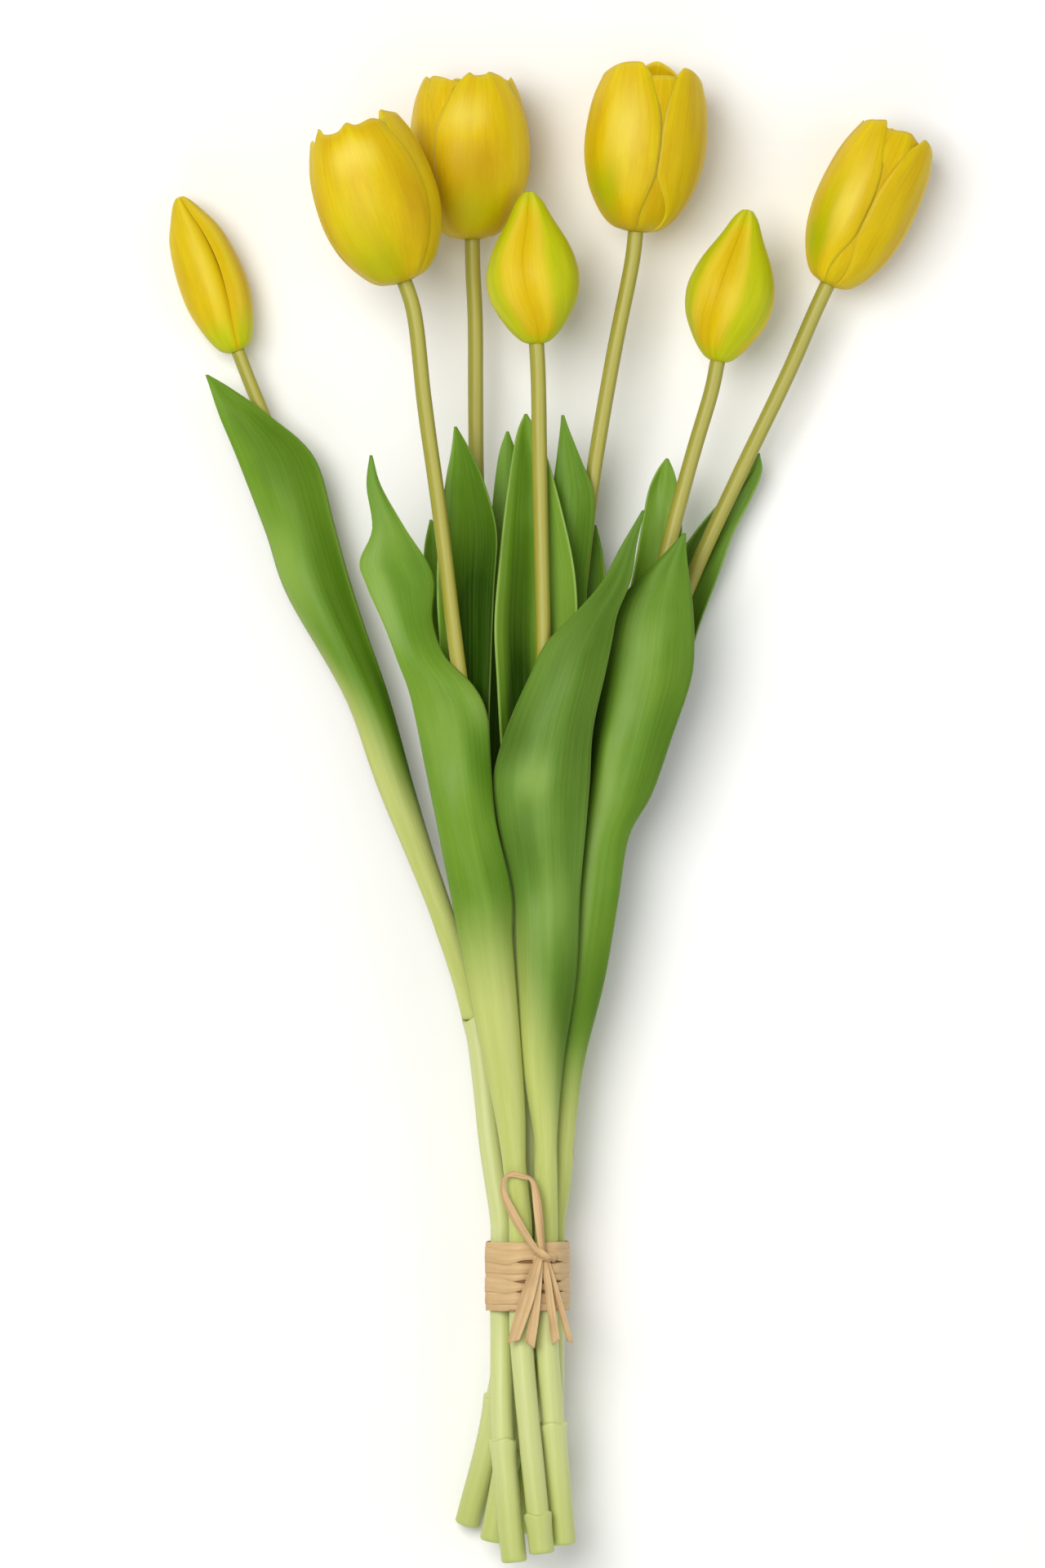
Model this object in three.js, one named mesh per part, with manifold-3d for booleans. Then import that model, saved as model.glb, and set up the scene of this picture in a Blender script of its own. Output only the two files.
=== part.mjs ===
// A tied bunch of seven yellow tulips, four open blooms and three buds, lying on its back.
// Millimetres. +Y runs from the cut ends to the blooms, and +Z points up from the surface it lies on.
import * as THREE from 'three';
import { mergeVertices } from 'three/addons/utils/BufferGeometryUtils.js';
import Module from 'manifold-3d';

const wasm = await Module();
wasm.setup();

// Stems and the sleeves of their leaves
const stemRadius = 2.3;
const budStemRadius = 2.05;
const lowerStemRadius = 3.75;
const cutSleeveRadius = 4.0;
const cutRounding = 0.7;
const sleeveSlope = 0.8;
const nodeRounding = 0.45;
const sheathRadius = 3.35;
const wrappedSheathRadius = 3.7;
const stemSides = 8;
const stemRingSpacing = 24;
const sheathRowSpacing = 9;
const bendReach = 20;
const flowerStraight = 9;
const seatGap = 0.95;

// Tie
const tieCentre = new THREE.Vector2(-8, 20.5);
const tiePitch = 8.15;
const tieTop = -131.8;
const tieBottom = -153.6;
const tieGap = 0.65;
const tieStraight = 5;
const windingThickness = [1.1, 0.8, 1.2, 0.75, 1.15, 0.85, 1.2];

// Leaves. Their waves run along the blade, out of step with each other at the two margins.
const leafThickness = 0.95;
const marginThinning = 0.25;
const leafColumns = 4;
const wrappedLeafColumns = 6;
const leastWrap = 2;
const waves = { turns: 17, leftLead: 1.4, gain: 4 };

// Petals, whose half angle is a share of its full size at the foot, whole from fullFrom on, and rounded off above
// roundedFrom down to the share of the tip
const petalThickness = 1.0;
const petalColumns = 4;
const petalRows = 7;
const petalLayerStep = 1.75;
const petalShape = { foot: 0.55, fullFrom: 0.35, roundedFrom: 0.5, levelPower: 2.7, widthPower: 2.2, tip: 0.06 };
const smallestRadius = 0.6;

// Buds, whose petals sink towards their margins
const budRows = 11;
const budColumns = [-1, -0.82, -0.45, 0, 0.45, 0.8, 0.97];
const budPetals = 3;
const budHollow = { depth: 1.2, power: 4 };
const budOverlap = { depth: 0.8, power: 8 };
const leastBudShare = 0.5;

// What stands inside an open bloom, as profiles of radius and height
const receptacle = { rim: 1.4, height: 4.5, footShare: 0.8, rimLevel: 0.4, topShare: 0.7 };
const pistilRaise = 4.9;
const pistilSides = 6;
const pistilColumn = [[0, 0], [2.3, 0], [1.9, 15], [2.9, 17.5], [2.2, 19.6], [0, 19.8]];
const stamenSides = 4;
const stamenProfile = [[0, 0], [0.6, 0.4], [0.55, 6], [1, 7.5], [0, 16.2]];
const stamens = { count: 6, lean: 16, reach: 2.1, rise: 0.2 };

// Raffia: how far each winding runs under the next, the knot, the loop and the tails. A strip is given by its
// points and its widths at both ends.
const raffiaThickness = 0.8;
const windingOverlap = 0.3;
const knot = { place: [-3.4, -136, 32.6], size: [3.2, 2.9, 2] };
const strips = [
  {
    widths: [2, 2.2],
    points: [[-3.6, -135.2, 33], [-4.6, -127, 34.4], [-5.6, -118, 35.2], [-6.6, -113.6, 35.4], [-9.6, -111.4, 35.6],
      [-12.8, -111.4, 35.6], [-15.4, -113.6, 35.4], [-15.7, -117.4, 35.2], [-13.2, -123.4, 35], [-9.4, -129.2, 34.8],
      [-4.4, -135.4, 33.6]],
  },
  { widths: [1.8, 3.3], points: [[-4, -136, 33.4], [-7, -143, 34.4], [-9.6, -152, 34.8], [-12.2, -162.8, 34.4]] },
  { widths: [1.6, 2.3], points: [[-3.6, -136, 33], [-4.8, -145, 33.6], [-5.8, -154, 33.8], [-6.4, -164.2, 33.4]] },
  { widths: [1.6, 2], points: [[-3, -136, 32.6], [-2, -145, 32.7], [-0.9, -154, 32.2], [0.2, -163.2, 31]] },
  { widths: [1.4, 1.6], points: [[-2.4, -136, 32], [0.6, -145, 31.2], [3.2, -154, 29.6], [5, -163, 27.6]] },
];

// Looks
const looks = {
  stem: { color: 0xa5a046, roughness: 0.5 },
  leaf: { color: 0x6c9a34, roughness: 0.45 },
  petal: { color: 0xe6c41e, roughness: 0.5 },
  budPetal: { color: 0xc8cf1c, roughness: 0.5 },
  pistil: { color: 0xb7bf4e, roughness: 0.7 },
  raffia: { color: 0xcda573, roughness: 0.8 },
};

// Each tulip: its place round the tie in degrees (none stands in the middle), the way its stem runs from the cut
// end up to the flower, the level where the lower stem gives way to the sheaths, and the level of the cut sleeve
const tulips = {
  far_left: {
    tieAngle: 165, node: -63.5, sleeve: -192.6, thin: budStemRadius,
    below: [[-12, -230.2, 25], [-15.6, -190, 24.6]],
    above: [[-19.3, -102, 22], [-24.4, -63, 20.8], [-35.5, -28, 19], [-49, 8, 16.6], [-58.3, 35, 14.6],
      [-67.2, 66, 12.8], [-76.5, 90, 11.4], [-86.5, 115, 10.6]],
    flower: { base: [-96.9, 141, 10.4], tip: [-115.0, 188.4, 10.4] },
  },
  left: {
    tieAngle: 105, node: -142.6, sleeve: -215, thin: stemRadius,
    below: [[-3.5, -227.4, 28.5], [-7.4, -190, 28.5]],
    above: [[-11.6, -112, 30.4], [-15.2, -77, 33], [-19.6, -27, 36.2], [-24.6, 15, 38.7], [-29.2, 45, 40.4],
      [-34.4, 88, 42.2], [-39.5, 125, 43.4]],
    flower: { base: [-45.7, 161.6, 44.2], tip: [-61.9, 210.2, 45.4] },
  },
  back_left: {
    tieAngle: -135, node: -86, sleeve: -180, thin: stemRadius,
    below: [[-26.5, -219.6, 3.55], [-19, -190, 9.1]],
    above: [[-14.6, -112, 13.6], [-15.8, -77, 12.6], [-17.5, -10, 12.3], [-19, 25, 13.2], [-22, 70, 15.6],
      [-23.7, 106, 17.6], [-24, 150, 19]],
    flower: { base: [-24.9, 175.4, 19.8], tip: [-26, 225.8, 20.4] },
  },
  middle: {
    tieAngle: 45, node: -142.6, sleeve: -187.4, thin: stemRadius,
    below: [[3, -224.9, 22.5], [0, -190, 24.3]],
    above: [[-2.4, -112, 28.4], [-2.5, -77, 31], [-2.6, -25, 33.2], [-2.7, 15, 34.4], [-3.2, 55, 35],
      [-4.2, 100, 34.8]],
    flower: { base: [-5.2, 142.6, 34.2], tip: [-7.6, 189.2, 34.2] },
  },
  back_right: {
    node: -86, sleeve: -196, thin: stemRadius,
    below: [[-18.8, -224.4, 12.5], [-12.5, -190, 15]],
    above: [[-7, -112, 20.8], [-5.8, -77, 21], [-0.4, -10, 21.6], [3.2, 25, 21.8], [8.2, 70, 22],
      [11.8, 100, 22], [18.5, 140, 21.6]],
    flower: { base: [25.2, 177.6, 21.2], tip: [31, 230.4, 21.2] },
  },
  right: {
    tieAngle: -15, node: -142.6, sleeve: -190, thin: stemRadius,
    below: [[0.5, -221.9, 12.5], [-0.2, -190, 15.3]],
    above: [[2.1, -112, 20.2], [4.3, -77, 22.2], [11.7, -27, 25.2], [20, 15, 27], [26.8, 45, 27.6],
      [35.4, 82, 27.2], [43.5, 112, 26.2]],
    flower: { base: [50.2, 137.4, 25.4], tip: [59.6, 184, 25] },
  },
  far_right: {
    tieAngle: -75, node: -86, sleeve: -200, thin: stemRadius,
    below: [[-9, -222, 5], [-7.2, -190, 8.6]],
    above: [[-2.6, -112, 11], [0.4, -77, 10.2], [11, -27, 9], [20.4, 10, 9], [28.4, 35, 9.4], [42.8, 72, 10.8],
      [59.5, 108, 12.8], [72, 134, 14.4]],
    flower: { base: [84.2, 161.6, 15.2], tip: [106.4, 209.6, 15.9] },
  },
};

// Each leaf: the tulip it grows on, the side of the stem it covers (front faces up, rear faces the table), the
// levels of its sheath, and its blade as [level, left margin, right margin, height of the midrib, half wrap, tilt].
// The half wrap is the angle from the midrib to a margin, and the tilt lifts the right margin.
const leaves = {
  leaf_far_left: {
    tulip: 'far_left', side: 1, sheath: [-61.4, -29], sheathWrap: 155, wave: 0.9,
    blade: [[-12, -45.6, -37.4, 21.6, 125, 0], [8, -54.5, -43.6, 20.6, 85, 5], [35, -64.6, -51.2, 19.2, 60, 8],
      [66, -82.3, -62, 18, 42, 10], [86, -89, -67.5, 17.6, 38, 8], [108, -97, -73.3, 17.2, 30, 0],
      [121, -102.3, -87, 16.8, 24, -5], [129, -105.1, -98.4, 16.6, 18, -5], [133.6, -106.8, -106, 16.6, 10, 0]],
  },
  leaf_left_front: {
    tulip: 'left', side: 1, sheath: [-142, -108], sheathWrap: 84, wave: 1.0,
    blade: [[-94, -17.6, -8.8, 35.3, 84, 0], [-77, -21.2, -9.8, 37, 72, 0], [-41, -28.5, -12.5, 39.8, 50, 0],
      [-25, -31.5, -12.9, 41, 43, 0], [-3, -35.8, -17.8, 42.6, 40, 0], [15, -39.5, -19.3, 43.4, 40, 0],
      [29, -42.3, -20.3, 45.2, 30, 0], [38, -44.6, -24.5, 46.4, 25, 0], [47, -48, -33, 46.5, 28, -6],
      [58, -52, -36.5, 45, 35, -15], [69, -56.8, -35.8, 45.5, 32, -10], [76, -58.9, -38.5, 46, 28, -5],
      [86, -55.2, -45.2, 46.5, 22, 0], [99, -57, -52.6, 47, 15, 0], [108.3, -56.1, -55.3, 47.6, 10, 0]],
  },
  leaf_left_rear: {
    tulip: 'left', side: -1, sheath: [-142, -80], sheathWrap: 78, wave: 0.8,
    blade: [[-50, -22.6, -13.6, 31.2, 66, 0], [-15, -28, -17.6, 32.6, 50, 0], [20, -32.2, -19.6, 33.8, 42, 0],
      [48, -34.5, -19, 34.8, 36, 0], [68, -35.6, -18.2, 35.2, 34, 0], [85, -34.8, -17.4, 35.6, 32, 0],
      [100, -33, -21.2, 36.2, 28, 0], [110, -31.2, -25.6, 37, 20, 0], [117.2, -30.4, -29.6, 37.8, 10, 0]],
  },
  leaf_back_left_front: {
    tulip: 'back_left', side: 1, sheath: [-84.6, -66], sheathWrap: 84, wave: 0.8,
    blade: [[-45, -21.8, -12.2, 15.9, 70, 0], [-10, -24.4, -10.8, 17, 55, 0], [25, -25.5, -8.2, 18.6, 45, 0],
      [55, -23.5, -6.6, 20.6, 40, 0], [80, -20, -7, 22.6, 34, 0], [97, -18.3, -8.6, 24, 28, 0],
      [109, -16.6, -11.4, 25.2, 20, 0], [116, -14.5, -13.7, 26.2, 10, 0]],
  },
  leaf_back_left_rear: {
    tulip: 'back_left', side: -1, sheath: [-84.6, -66], sheathWrap: 78, wave: 0.8,
    blade: [[-45, -22, -12, 8.6, 66, 0], [-10, -26.6, -12, 7.8, 52, 0], [25, -33, -14.6, 7.6, 44, 0],
      [50, -38.2, -21, 8.2, 38, 0], [68, -39.8, -26.5, 11.6, 32, 0], [80, -39.6, -31.4, 15, 25, 0],
      [89, -38, -37.2, 18, 10, 0]],
  },
  leaf_middle_front: {
    tulip: 'middle', side: 1, sheath: [-142, -100], sheathWrap: 84, wave: 0.9,
    blade: [[-77, -9.7, 2.8, 34.8, 70, 0], [-50, -11.7, 6.8, 36.6, 55, 0], [-25, -12.9, 8, 38, 45, 0],
      [-3, -17.6, 10, 40, 33, 0], [9.4, -18.5, 11, 41.2, 30, 0], [25, -14.3, 12, 42, 30, 0],
      [42, -7.3, 15.4, 42.2, 30, 8], [51, -2.8, 17.2, 42.6, 28, 12], [60, 6, 19.2, 42.6, 26, 15],
      [70, 14.6, 23.4, 42.2, 22, 15], [81, 20.8, 25.2, 41.8, 15, 10], [91.6, 27, 27.8, 41.2, 10, 0]],
  },
  leaf_middle_rear: {
    tulip: 'middle', side: -1, sheath: [-142, -84], sheathWrap: 78, wave: 0.9,
    blade: [[-55, -8.6, 3.4, 28.2, 66, 0], [-20, -11.6, 5.2, 29.4, 56, 0], [15, -15.6, 6.4, 29.6, 60, 0],
      [40, -17.2, 7, 29.4, 62, 0], [57, -17.9, 7.3, 29.3, 62, 0], [74, -16.7, 6.2, 29.4, 58, 0],
      [92, -14.8, 2.4, 29.4, 48, 0], [108, -12.6, -2, 29.6, 32, 0], [116, -11, -5.2, 29.9, 20, 0],
      [121.3, -8.9, -8.1, 30.2, 10, 0]],
  },
  leaf_back_right_front: {
    tulip: 'back_right', side: 1, sheath: [-84.6, -66], sheathWrap: 84, wave: 0.8,
    blade: [[-45, -8.8, 1.4, 25, 72, 0], [-10, -7.4, 6, 25.3, 55, 0], [25, -5.8, 9.6, 26, 42, 0],
      [50, -4.4, 10, 26.6, 34, 0], [70, -3.2, 10.3, 27, 28, 0], [85, -1.8, 12, 27.2, 25, 0],
      [97, -0.4, 12.3, 27.3, 22, 0], [107, 0.9, 8.6, 27.4, 18, 0], [115, 1.8, 5.4, 27.6, 14, 0],
      [121, 2.4, 3.2, 27.8, 10, 0]],
  },
  leaf_back_right_rear: {
    tulip: 'back_right', side: -1, sheath: [-84.6, -66], sheathWrap: 78, wave: 0.8,
    blade: [[-45, -7.8, 2, 17.2, 68, 0], [-10, -6, 7, 16.8, 54, 0], [25, -3, 12.4, 16.6, 44, 0],
      [50, 0, 15.7, 16.6, 38, 0], [68, 3.5, 16, 17, 32, 0], [79, 8, 15.1, 17.4, 24, 0],
      [87.5, 12.4, 13.2, 18, 10, 0]],
  },
  leaf_right_front: {
    tulip: 'right', side: 1, sheath: [-142, -100], sheathWrap: 84, wave: 1.1,
    blade: [[-77, 0.3, 9.3, 26, 75, 0], [-52, 3.2, 15.5, 27.6, 60, 0], [-27, 6.4, 19.8, 29, 50, 0],
      [-8, 8.6, 23, 30.2, 45, 0], [5, 9.7, 30, 31, 40, 0], [22, 12, 36, 32, 36, 0], [40, 14.5, 42, 32.8, 34, 0],
      [52, 16.5, 43, 33.2, 32, 0], [63, 19.8, 42.5, 33.4, 30, 0], [71, 26, 41.5, 33.6, 26, 0],
      [79, 34.2, 40.6, 33.6, 18, 0], [84.8, 39.7, 40.5, 33.6, 10, 0]],
  },
  leaf_right_rear: {
    tulip: 'right', side: -1, sheath: [-142, -84], sheathWrap: 78, wave: 0.8,
    blade: [[-55, 2.8, 12, 20, 66, 0], [-20, 7.4, 19.4, 21.2, 52, 0], [15, 13, 28, 22.2, 44, 0],
      [45, 18.8, 36, 22.6, 40, 0], [70, 24, 38.6, 22.8, 36, 0], [88, 27.2, 39.3, 22, 28, 0],
      [98, 29.2, 38.2, 22, 22, 0], [104, 31.8, 36.8, 22.3, 16, 0], [107.8, 34.4, 35.2, 22.8, 10, 0]],
  },
  leaf_far_right: {
    tulip: 'far_right', side: -1, sheath: [-84.2, -58], sheathWrap: 152, wave: 0.8,
    blade: [[-40, 3, 11.6, 5.4, 120, 0], [-18, 6.8, 19, 4.8, 82, 0], [10, 11.6, 29.6, 4.6, 60, 0],
      [35, 18.2, 38.6, 4.8, 50, 0], [55, 26.4, 44.2, 5.6, 48, 0], [72, 34.6, 50.6, 6.6, 45, 0],
      [85, 43.2, 55.2, 6.8, 40, 0], [96, 52.4, 60.8, 7.6, 30, 0], [104, 59.6, 64, 8.8, 20, 0],
      [109.6, 62.6, 63.4, 10.6, 10, 0]],
  },
};

// Outlines of a flower as [share of the width, share of the length], from its base to its tip
const bloomOutline = [[0.16, 0], [0.42, 0.025], [0.64, 0.1], [0.85, 0.23], [0.97, 0.38], [1, 0.52], [0.97, 0.68],
  [0.9, 0.83], [0.81, 0.94], [0.72, 1]];
const budOutline = [[0.17, 0], [0.36, 0.03], [0.63, 0.12], [0.91, 0.27], [1, 0.41], [0.95, 0.53], [0.79, 0.66],
  [0.46, 0.82], [0.2, 0.94], [0.06, 1]];
const slimBudOutline = [[0.24, 0], [0.5, 0.04], [0.74, 0.14], [0.95, 0.3], [1, 0.44], [0.95, 0.6], [0.78, 0.76],
  [0.5, 0.88], [0.24, 0.96], [0.08, 1]];

// Each flower's width, how far its petals are turned round it, and the half angle that its outer and inner
// petals cover. A lean opens a petal outwards and a tall one stands above the others.
const flowers = {
  bloom_left: {
    tulip: 'left', width: 38.6, turn: -10, reach: [58, 50],
    outer: [[0, 0.97, 0], [116, 1, 0.01], [-122, 0.96, 0.03]], inner: [[58, 0.96, 0], [180, 0.99, 0], [-62, 0.97, 0]],
  },
  bloom_back_left: {
    tulip: 'back_left', width: 38.2, turn: 22, reach: [58, 50],
    outer: [[0, 0.97, 0], [120, 0.98, 0], [-118, 0.96, 0]], inner: [[60, 0.99, 0], [180, 1, 0], [-60, 0.97, 0]],
  },
  bloom_back_right: {
    tulip: 'back_right', width: 38, turn: -52, reach: [58.5, 50],
    outer: [[0, 0.97, 0], [121, 0.96, 0], [-120, 0.98, 0]], inner: [[60, 0.98, 0], [180, 1, 0], [-60, 0.97, 0]],
  },
  bloom_far_right: {
    tulip: 'far_right', width: 32.4, turn: -48, reach: [58.5, 50],
    outer: [[0, 1, 0], [121, 0.96, 0.04], [-120, 0.98, 0]], inner: [[60, 0.92, 0], [180, 0.98, 0], [-60, 0.96, 0]],
  },
  bud_far_left: { tulip: 'far_left', width: 21.6, turn: 70, outline: slimBudOutline },
  bud_middle: { tulip: 'middle', width: 29, turn: 62, outline: budOutline },
  bud_right: { tulip: 'right', width: 27.6, turn: 52, outline: budOutline },
};

const degrees = THREE.MathUtils.degToRad;
const upward = new THREE.Vector3(0, 0, 1);
const quarterTurn = 90;
const wholeTurn = 360;
const curveTension = 0.5;
const weldReach = 1e-4;
const slopeStep = 1e-3;
const levelSteps = 30;
const tableReach = 600;
const tableDepth = 40;

// Closed shapes

// Keeps positions only, joins equal vertices and drops the triangles that this leaves without area
function weld(geometry) {
  const bare = new THREE.BufferGeometry();
  bare.setAttribute('position', geometry.getAttribute('position').clone());
  bare.setIndex(geometry.getIndex() ?? [...Array(bare.getAttribute('position').count).keys()]);
  const merged = mergeVertices(bare, weldReach);
  const corners = merged.getIndex().array;
  const kept = [];
  for (let i = 0; i < corners.length; i += 3) {
    const [a, b, c] = [corners[i], corners[i + 1], corners[i + 2]];
    if (a !== b && b !== c && c !== a) kept.push(a, b, c);
  }
  merged.setIndex(kept);
  return merged;
}

// A closed geometry as a solid, turned outside out where its faces point inwards
function toSolid(geometry) {
  const welded = weld(geometry);
  const positions = welded.getAttribute('position');
  const corners = Uint32Array.from(welded.getIndex().array);
  const [a, b, c] = [new THREE.Vector3(), new THREE.Vector3(), new THREE.Vector3()];
  let volume = 0;
  for (let i = 0; i < corners.length; i += 3) {
    a.fromBufferAttribute(positions, corners[i]);
    b.fromBufferAttribute(positions, corners[i + 1]);
    c.fromBufferAttribute(positions, corners[i + 2]);
    volume += a.dot(b.cross(c));
  }
  if (volume < 0) {
    for (let i = 0; i < corners.length; i += 3) {
      [corners[i + 1], corners[i + 2]] = [corners[i + 2], corners[i + 1]];
    }
  }
  const vertProperties = Float32Array.from(positions.array);
  return new wasm.Manifold(new wasm.Mesh({ numProp: 3, vertProperties, triVerts: corners }));
}

function toGeometry(solid) {
  const mesh = solid.getMesh();
  const geometry = new THREE.BufferGeometry();
  geometry.setAttribute('position', new THREE.BufferAttribute(mesh.vertProperties, 3));
  geometry.setIndex(new THREE.BufferAttribute(mesh.triVerts, 1));
  return geometry;
}

// One solid of all that is given. Hollows that the joining seals inside are filled.
function joined(solids) {
  const whole = solids.reduce((sum, solid) => sum.add(solid));
  return whole.decompose().reduce((best, part) => (part.volume() > best.volume() ? part : best));
}

// What stands lower than the table is trimmed to a flat spot that rests on it
function restingOnTable(solid) {
  const slab = new THREE.BoxGeometry(tableReach, tableReach, tableDepth).translate(0, 0, -tableDepth / 2);
  return solid.subtract(toSolid(slab));
}

// A profile of radius and height, turned round the y axis
function turned(profile, sides) {
  return new THREE.LatheGeometry(profile.map(([radius, height]) => new THREE.Vector2(radius, height)), sides);
}

// A sheet of even thickness over a grid: middle(u, v) gives its middle surface, with u from -1 at the left margin
// to 1 at the right one and v from 0 to 1. Both faces are cut along the same diagonals.
function sheet(columns, rows, thickness, middle) {
  const points = [];
  const faces = [];
  for (const side of [1, -1]) {
    for (let row = 0; row <= rows; row += 1) {
      for (let column = 0; column <= columns; column += 1) {
        const u = (2 * column) / columns - 1;
        const v = row / rows;
        const across = middle(Math.min(u + slopeStep, 1), v).sub(middle(Math.max(u - slopeStep, -1), v));
        const along = middle(u, Math.min(v + slopeStep, 1)).sub(middle(u, Math.max(v - slopeStep, 0)));
        const normal = across.cross(along).normalize();
        points.push(middle(u, v).addScaledVector(normal, (side * thickness(u, v)) / 2));
      }
    }
  }
  const width = columns + 1;
  const other = width * (rows + 1);
  for (let row = 0; row < rows; row += 1) {
    for (let column = 0; column < columns; column += 1) {
      const a = row * width + column;
      faces.push(a, a + 1, a + width + 1, a, a + width + 1, a + width);
      faces.push(other + a, other + a + width + 1, other + a + 1);
      faces.push(other + a, other + a + width, other + a + width + 1);
    }
  }
  const rim = [];
  for (let column = 0; column < columns; column += 1) rim.push(column);
  for (let row = 0; row < rows; row += 1) rim.push(row * width + columns);
  for (let column = columns; column > 0; column -= 1) rim.push(rows * width + column);
  for (let row = rows; row > 0; row -= 1) rim.push(row * width);
  rim.forEach((a, i) => {
    const b = rim[(i + 1) % rim.length];
    faces.push(a, other + b, b, a, other + a, other + b);
  });
  const geometry = new THREE.BufferGeometry().setFromPoints(points);
  geometry.setIndex(faces);
  return geometry;
}

// A curve through rows of numbers: at(t) gives the row at t, from 0 for the first row to 1 for the last
function through(rows) {
  const parts = [];
  for (let first = 0; first < rows[0].length; first += 3) {
    const triples = rows.map((row) => new THREE.Vector3(row[first], row[first + 1] ?? 0, row[first + 2] ?? 0));
    parts.push(new THREE.CatmullRomCurve3(triples, false, 'catmullrom', curveTension));
  }
  return (t) => parts.flatMap((part) => part.getPoint(t).toArray());
}

// Stems

const ahead = (from, to) => new THREE.Vector3(...to).sub(new THREE.Vector3(...from)).normalize();

function tieSpot({ tieAngle }) {
  if (tieAngle === undefined) return tieCentre;
  const offset = new THREE.Vector2(tiePitch, 0).rotateAround(new THREE.Vector2(), degrees(tieAngle));
  return offset.add(tieCentre);
}

function stemCurve(tulip) {
  const spot = tieSpot(tulip);
  const base = new THREE.Vector3(...tulip.flower.base);
  const axis = ahead(tulip.flower.base, tulip.flower.tip);
  const points = [
    ...tulip.below.map((point) => new THREE.Vector3(...point)),
    ...[tieBottom - tieStraight, tieBottom, tieTop, tieTop + tieStraight].map(
      (y) => new THREE.Vector3(spot.x, y, spot.y),
    ),
    ...tulip.above.map((point) => new THREE.Vector3(...point)),
    base.clone().addScaledVector(axis, -flowerStraight),
    base.clone().addScaledVector(axis, -seatGap),
  ];
  return new THREE.CatmullRomCurve3(points, false, 'centripetal');
}

// The place on a stem's curve at level y
function atLevel(curve, y) {
  let [low, high] = [0, 1];
  for (let i = 0; i < levelSteps; i += 1) {
    const middle = (low + high) / 2;
    if (curve.getPoint(middle).y < y) low = middle;
    else high = middle;
  }
  return (low + high) / 2;
}

// The levels of a stem's rings between two others, closer to each other where it bends into the tie
function ringLevels(from, to) {
  const levels = [];
  for (let y = from; y < to;) {
    const bends = y > tieBottom - bendReach && y < tieTop + bendReach;
    y += bends ? sheathRowSpacing : stemRingSpacing;
    if (y < to - sheathRowSpacing / 2) levels.push(y);
  }
  return levels;
}

function stem(tulip) {
  const curve = stemCurve(tulip);
  const cut = curve.getPoint(0).y;
  const top = curve.getPoint(1).y;
  const outline = [
    [0, cut], [cutSleeveRadius - cutRounding, cut], [cutSleeveRadius, cut + cutRounding],
    [cutSleeveRadius, tulip.sleeve - sleeveSlope], [lowerStemRadius, tulip.sleeve],
  ];
  for (const y of ringLevels(tulip.sleeve, tulip.node)) outline.push([lowerStemRadius, y]);
  outline.push([lowerStemRadius, tulip.node - nodeRounding], [lowerStemRadius - nodeRounding, tulip.node]);
  outline.push([tulip.thin, tulip.node]);
  for (const y of ringLevels(tulip.node, top)) outline.push([tulip.thin, y]);
  outline.push([tulip.thin, top], [0, top]);
  const lathe = turned(outline, stemSides);
  const positions = lathe.getAttribute('position');
  for (let i = 0; i < positions.count; i += 1) {
    const t = atLevel(curve, positions.getY(i));
    const along = curve.getTangent(t);
    const across = along.clone().cross(upward).normalize();
    const up = across.clone().cross(along);
    const place = curve.getPoint(t);
    place.addScaledVector(across, positions.getX(i)).addScaledVector(up, positions.getZ(i));
    positions.setXYZ(i, place.x, place.y, place.z);
  }
  return toSolid(lathe);
}

// Leaves

const wrapsRoundStem = ({ sheathWrap }) => sheathWrap > quarterTurn;

// The rows of a leaf's sheath, which follow its stem, and then those of its blade
function leafRows(form) {
  const curve = stemCurve(tulips[form.tulip]);
  const [bottom, top] = form.sheath;
  const count = Math.ceil((top - bottom) / sheathRowSpacing);
  const radius = wrapsRoundStem(form) ? wrappedSheathRadius : sheathRadius;
  const sheath = [];
  for (let i = 0; i <= count; i += 1) {
    const y = THREE.MathUtils.lerp(bottom, top, i / count);
    const { x, z } = curve.getPoint(atLevel(curve, y));
    sheath.push([y, x - radius, x + radius, z + form.side * radius, form.sheathWrap, 0]);
  }
  return [...sheath, ...form.blade];
}

function leaf(form) {
  const rows = leafRows(form);
  const at = through(rows);
  const columns = wrapsRoundStem(form) ? wrappedLeafColumns : leafColumns;
  const bladeStart = 1 - form.blade.length / rows.length;
  const middle = (u, v) => {
    const [y, left, right, height, wrap, tilt] = at(v);
    const lean = degrees(tilt);
    const halfWrap = degrees(Math.max(wrap, leastWrap));
    const radius = (right - left) / 2 / Math.sin(Math.min(halfWrap, Math.PI / 2)) / Math.cos(lean);
    const across = radius * Math.sin(u * halfWrap);
    const swing = Math.sin(v * waves.turns + (u < 0 ? waves.leftLead : 0));
    const raised = form.wave * waves.gain * swing * Math.max(0, v - bladeStart) * (1 - v) * u * u;
    const back = raised - form.side * radius * (1 - Math.cos(u * halfWrap));
    return new THREE.Vector3(
      (left + right) / 2 + across * Math.cos(lean) - back * Math.sin(lean),
      y,
      height + across * Math.sin(lean) + back * Math.cos(lean),
    );
  };
  const thickness = (u) => leafThickness * (1 - marginThinning * u * u);
  return toSolid(sheet(columns, rows.length, thickness, middle));
}

// Flowers

// A flower's own frame: x to its right, y along its axis and z to the side that faces up
function flowerFrame({ base, tip }) {
  const axis = ahead(base, tip);
  const right = axis.clone().cross(upward).normalize();
  const facing = right.clone().cross(axis);
  return new THREE.Matrix4().makeBasis(right, axis, facing).setPosition(...base);
}

const flowerLength = ({ base, tip }) => new THREE.Vector3(...base).distanceTo(new THREE.Vector3(...tip));

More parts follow.
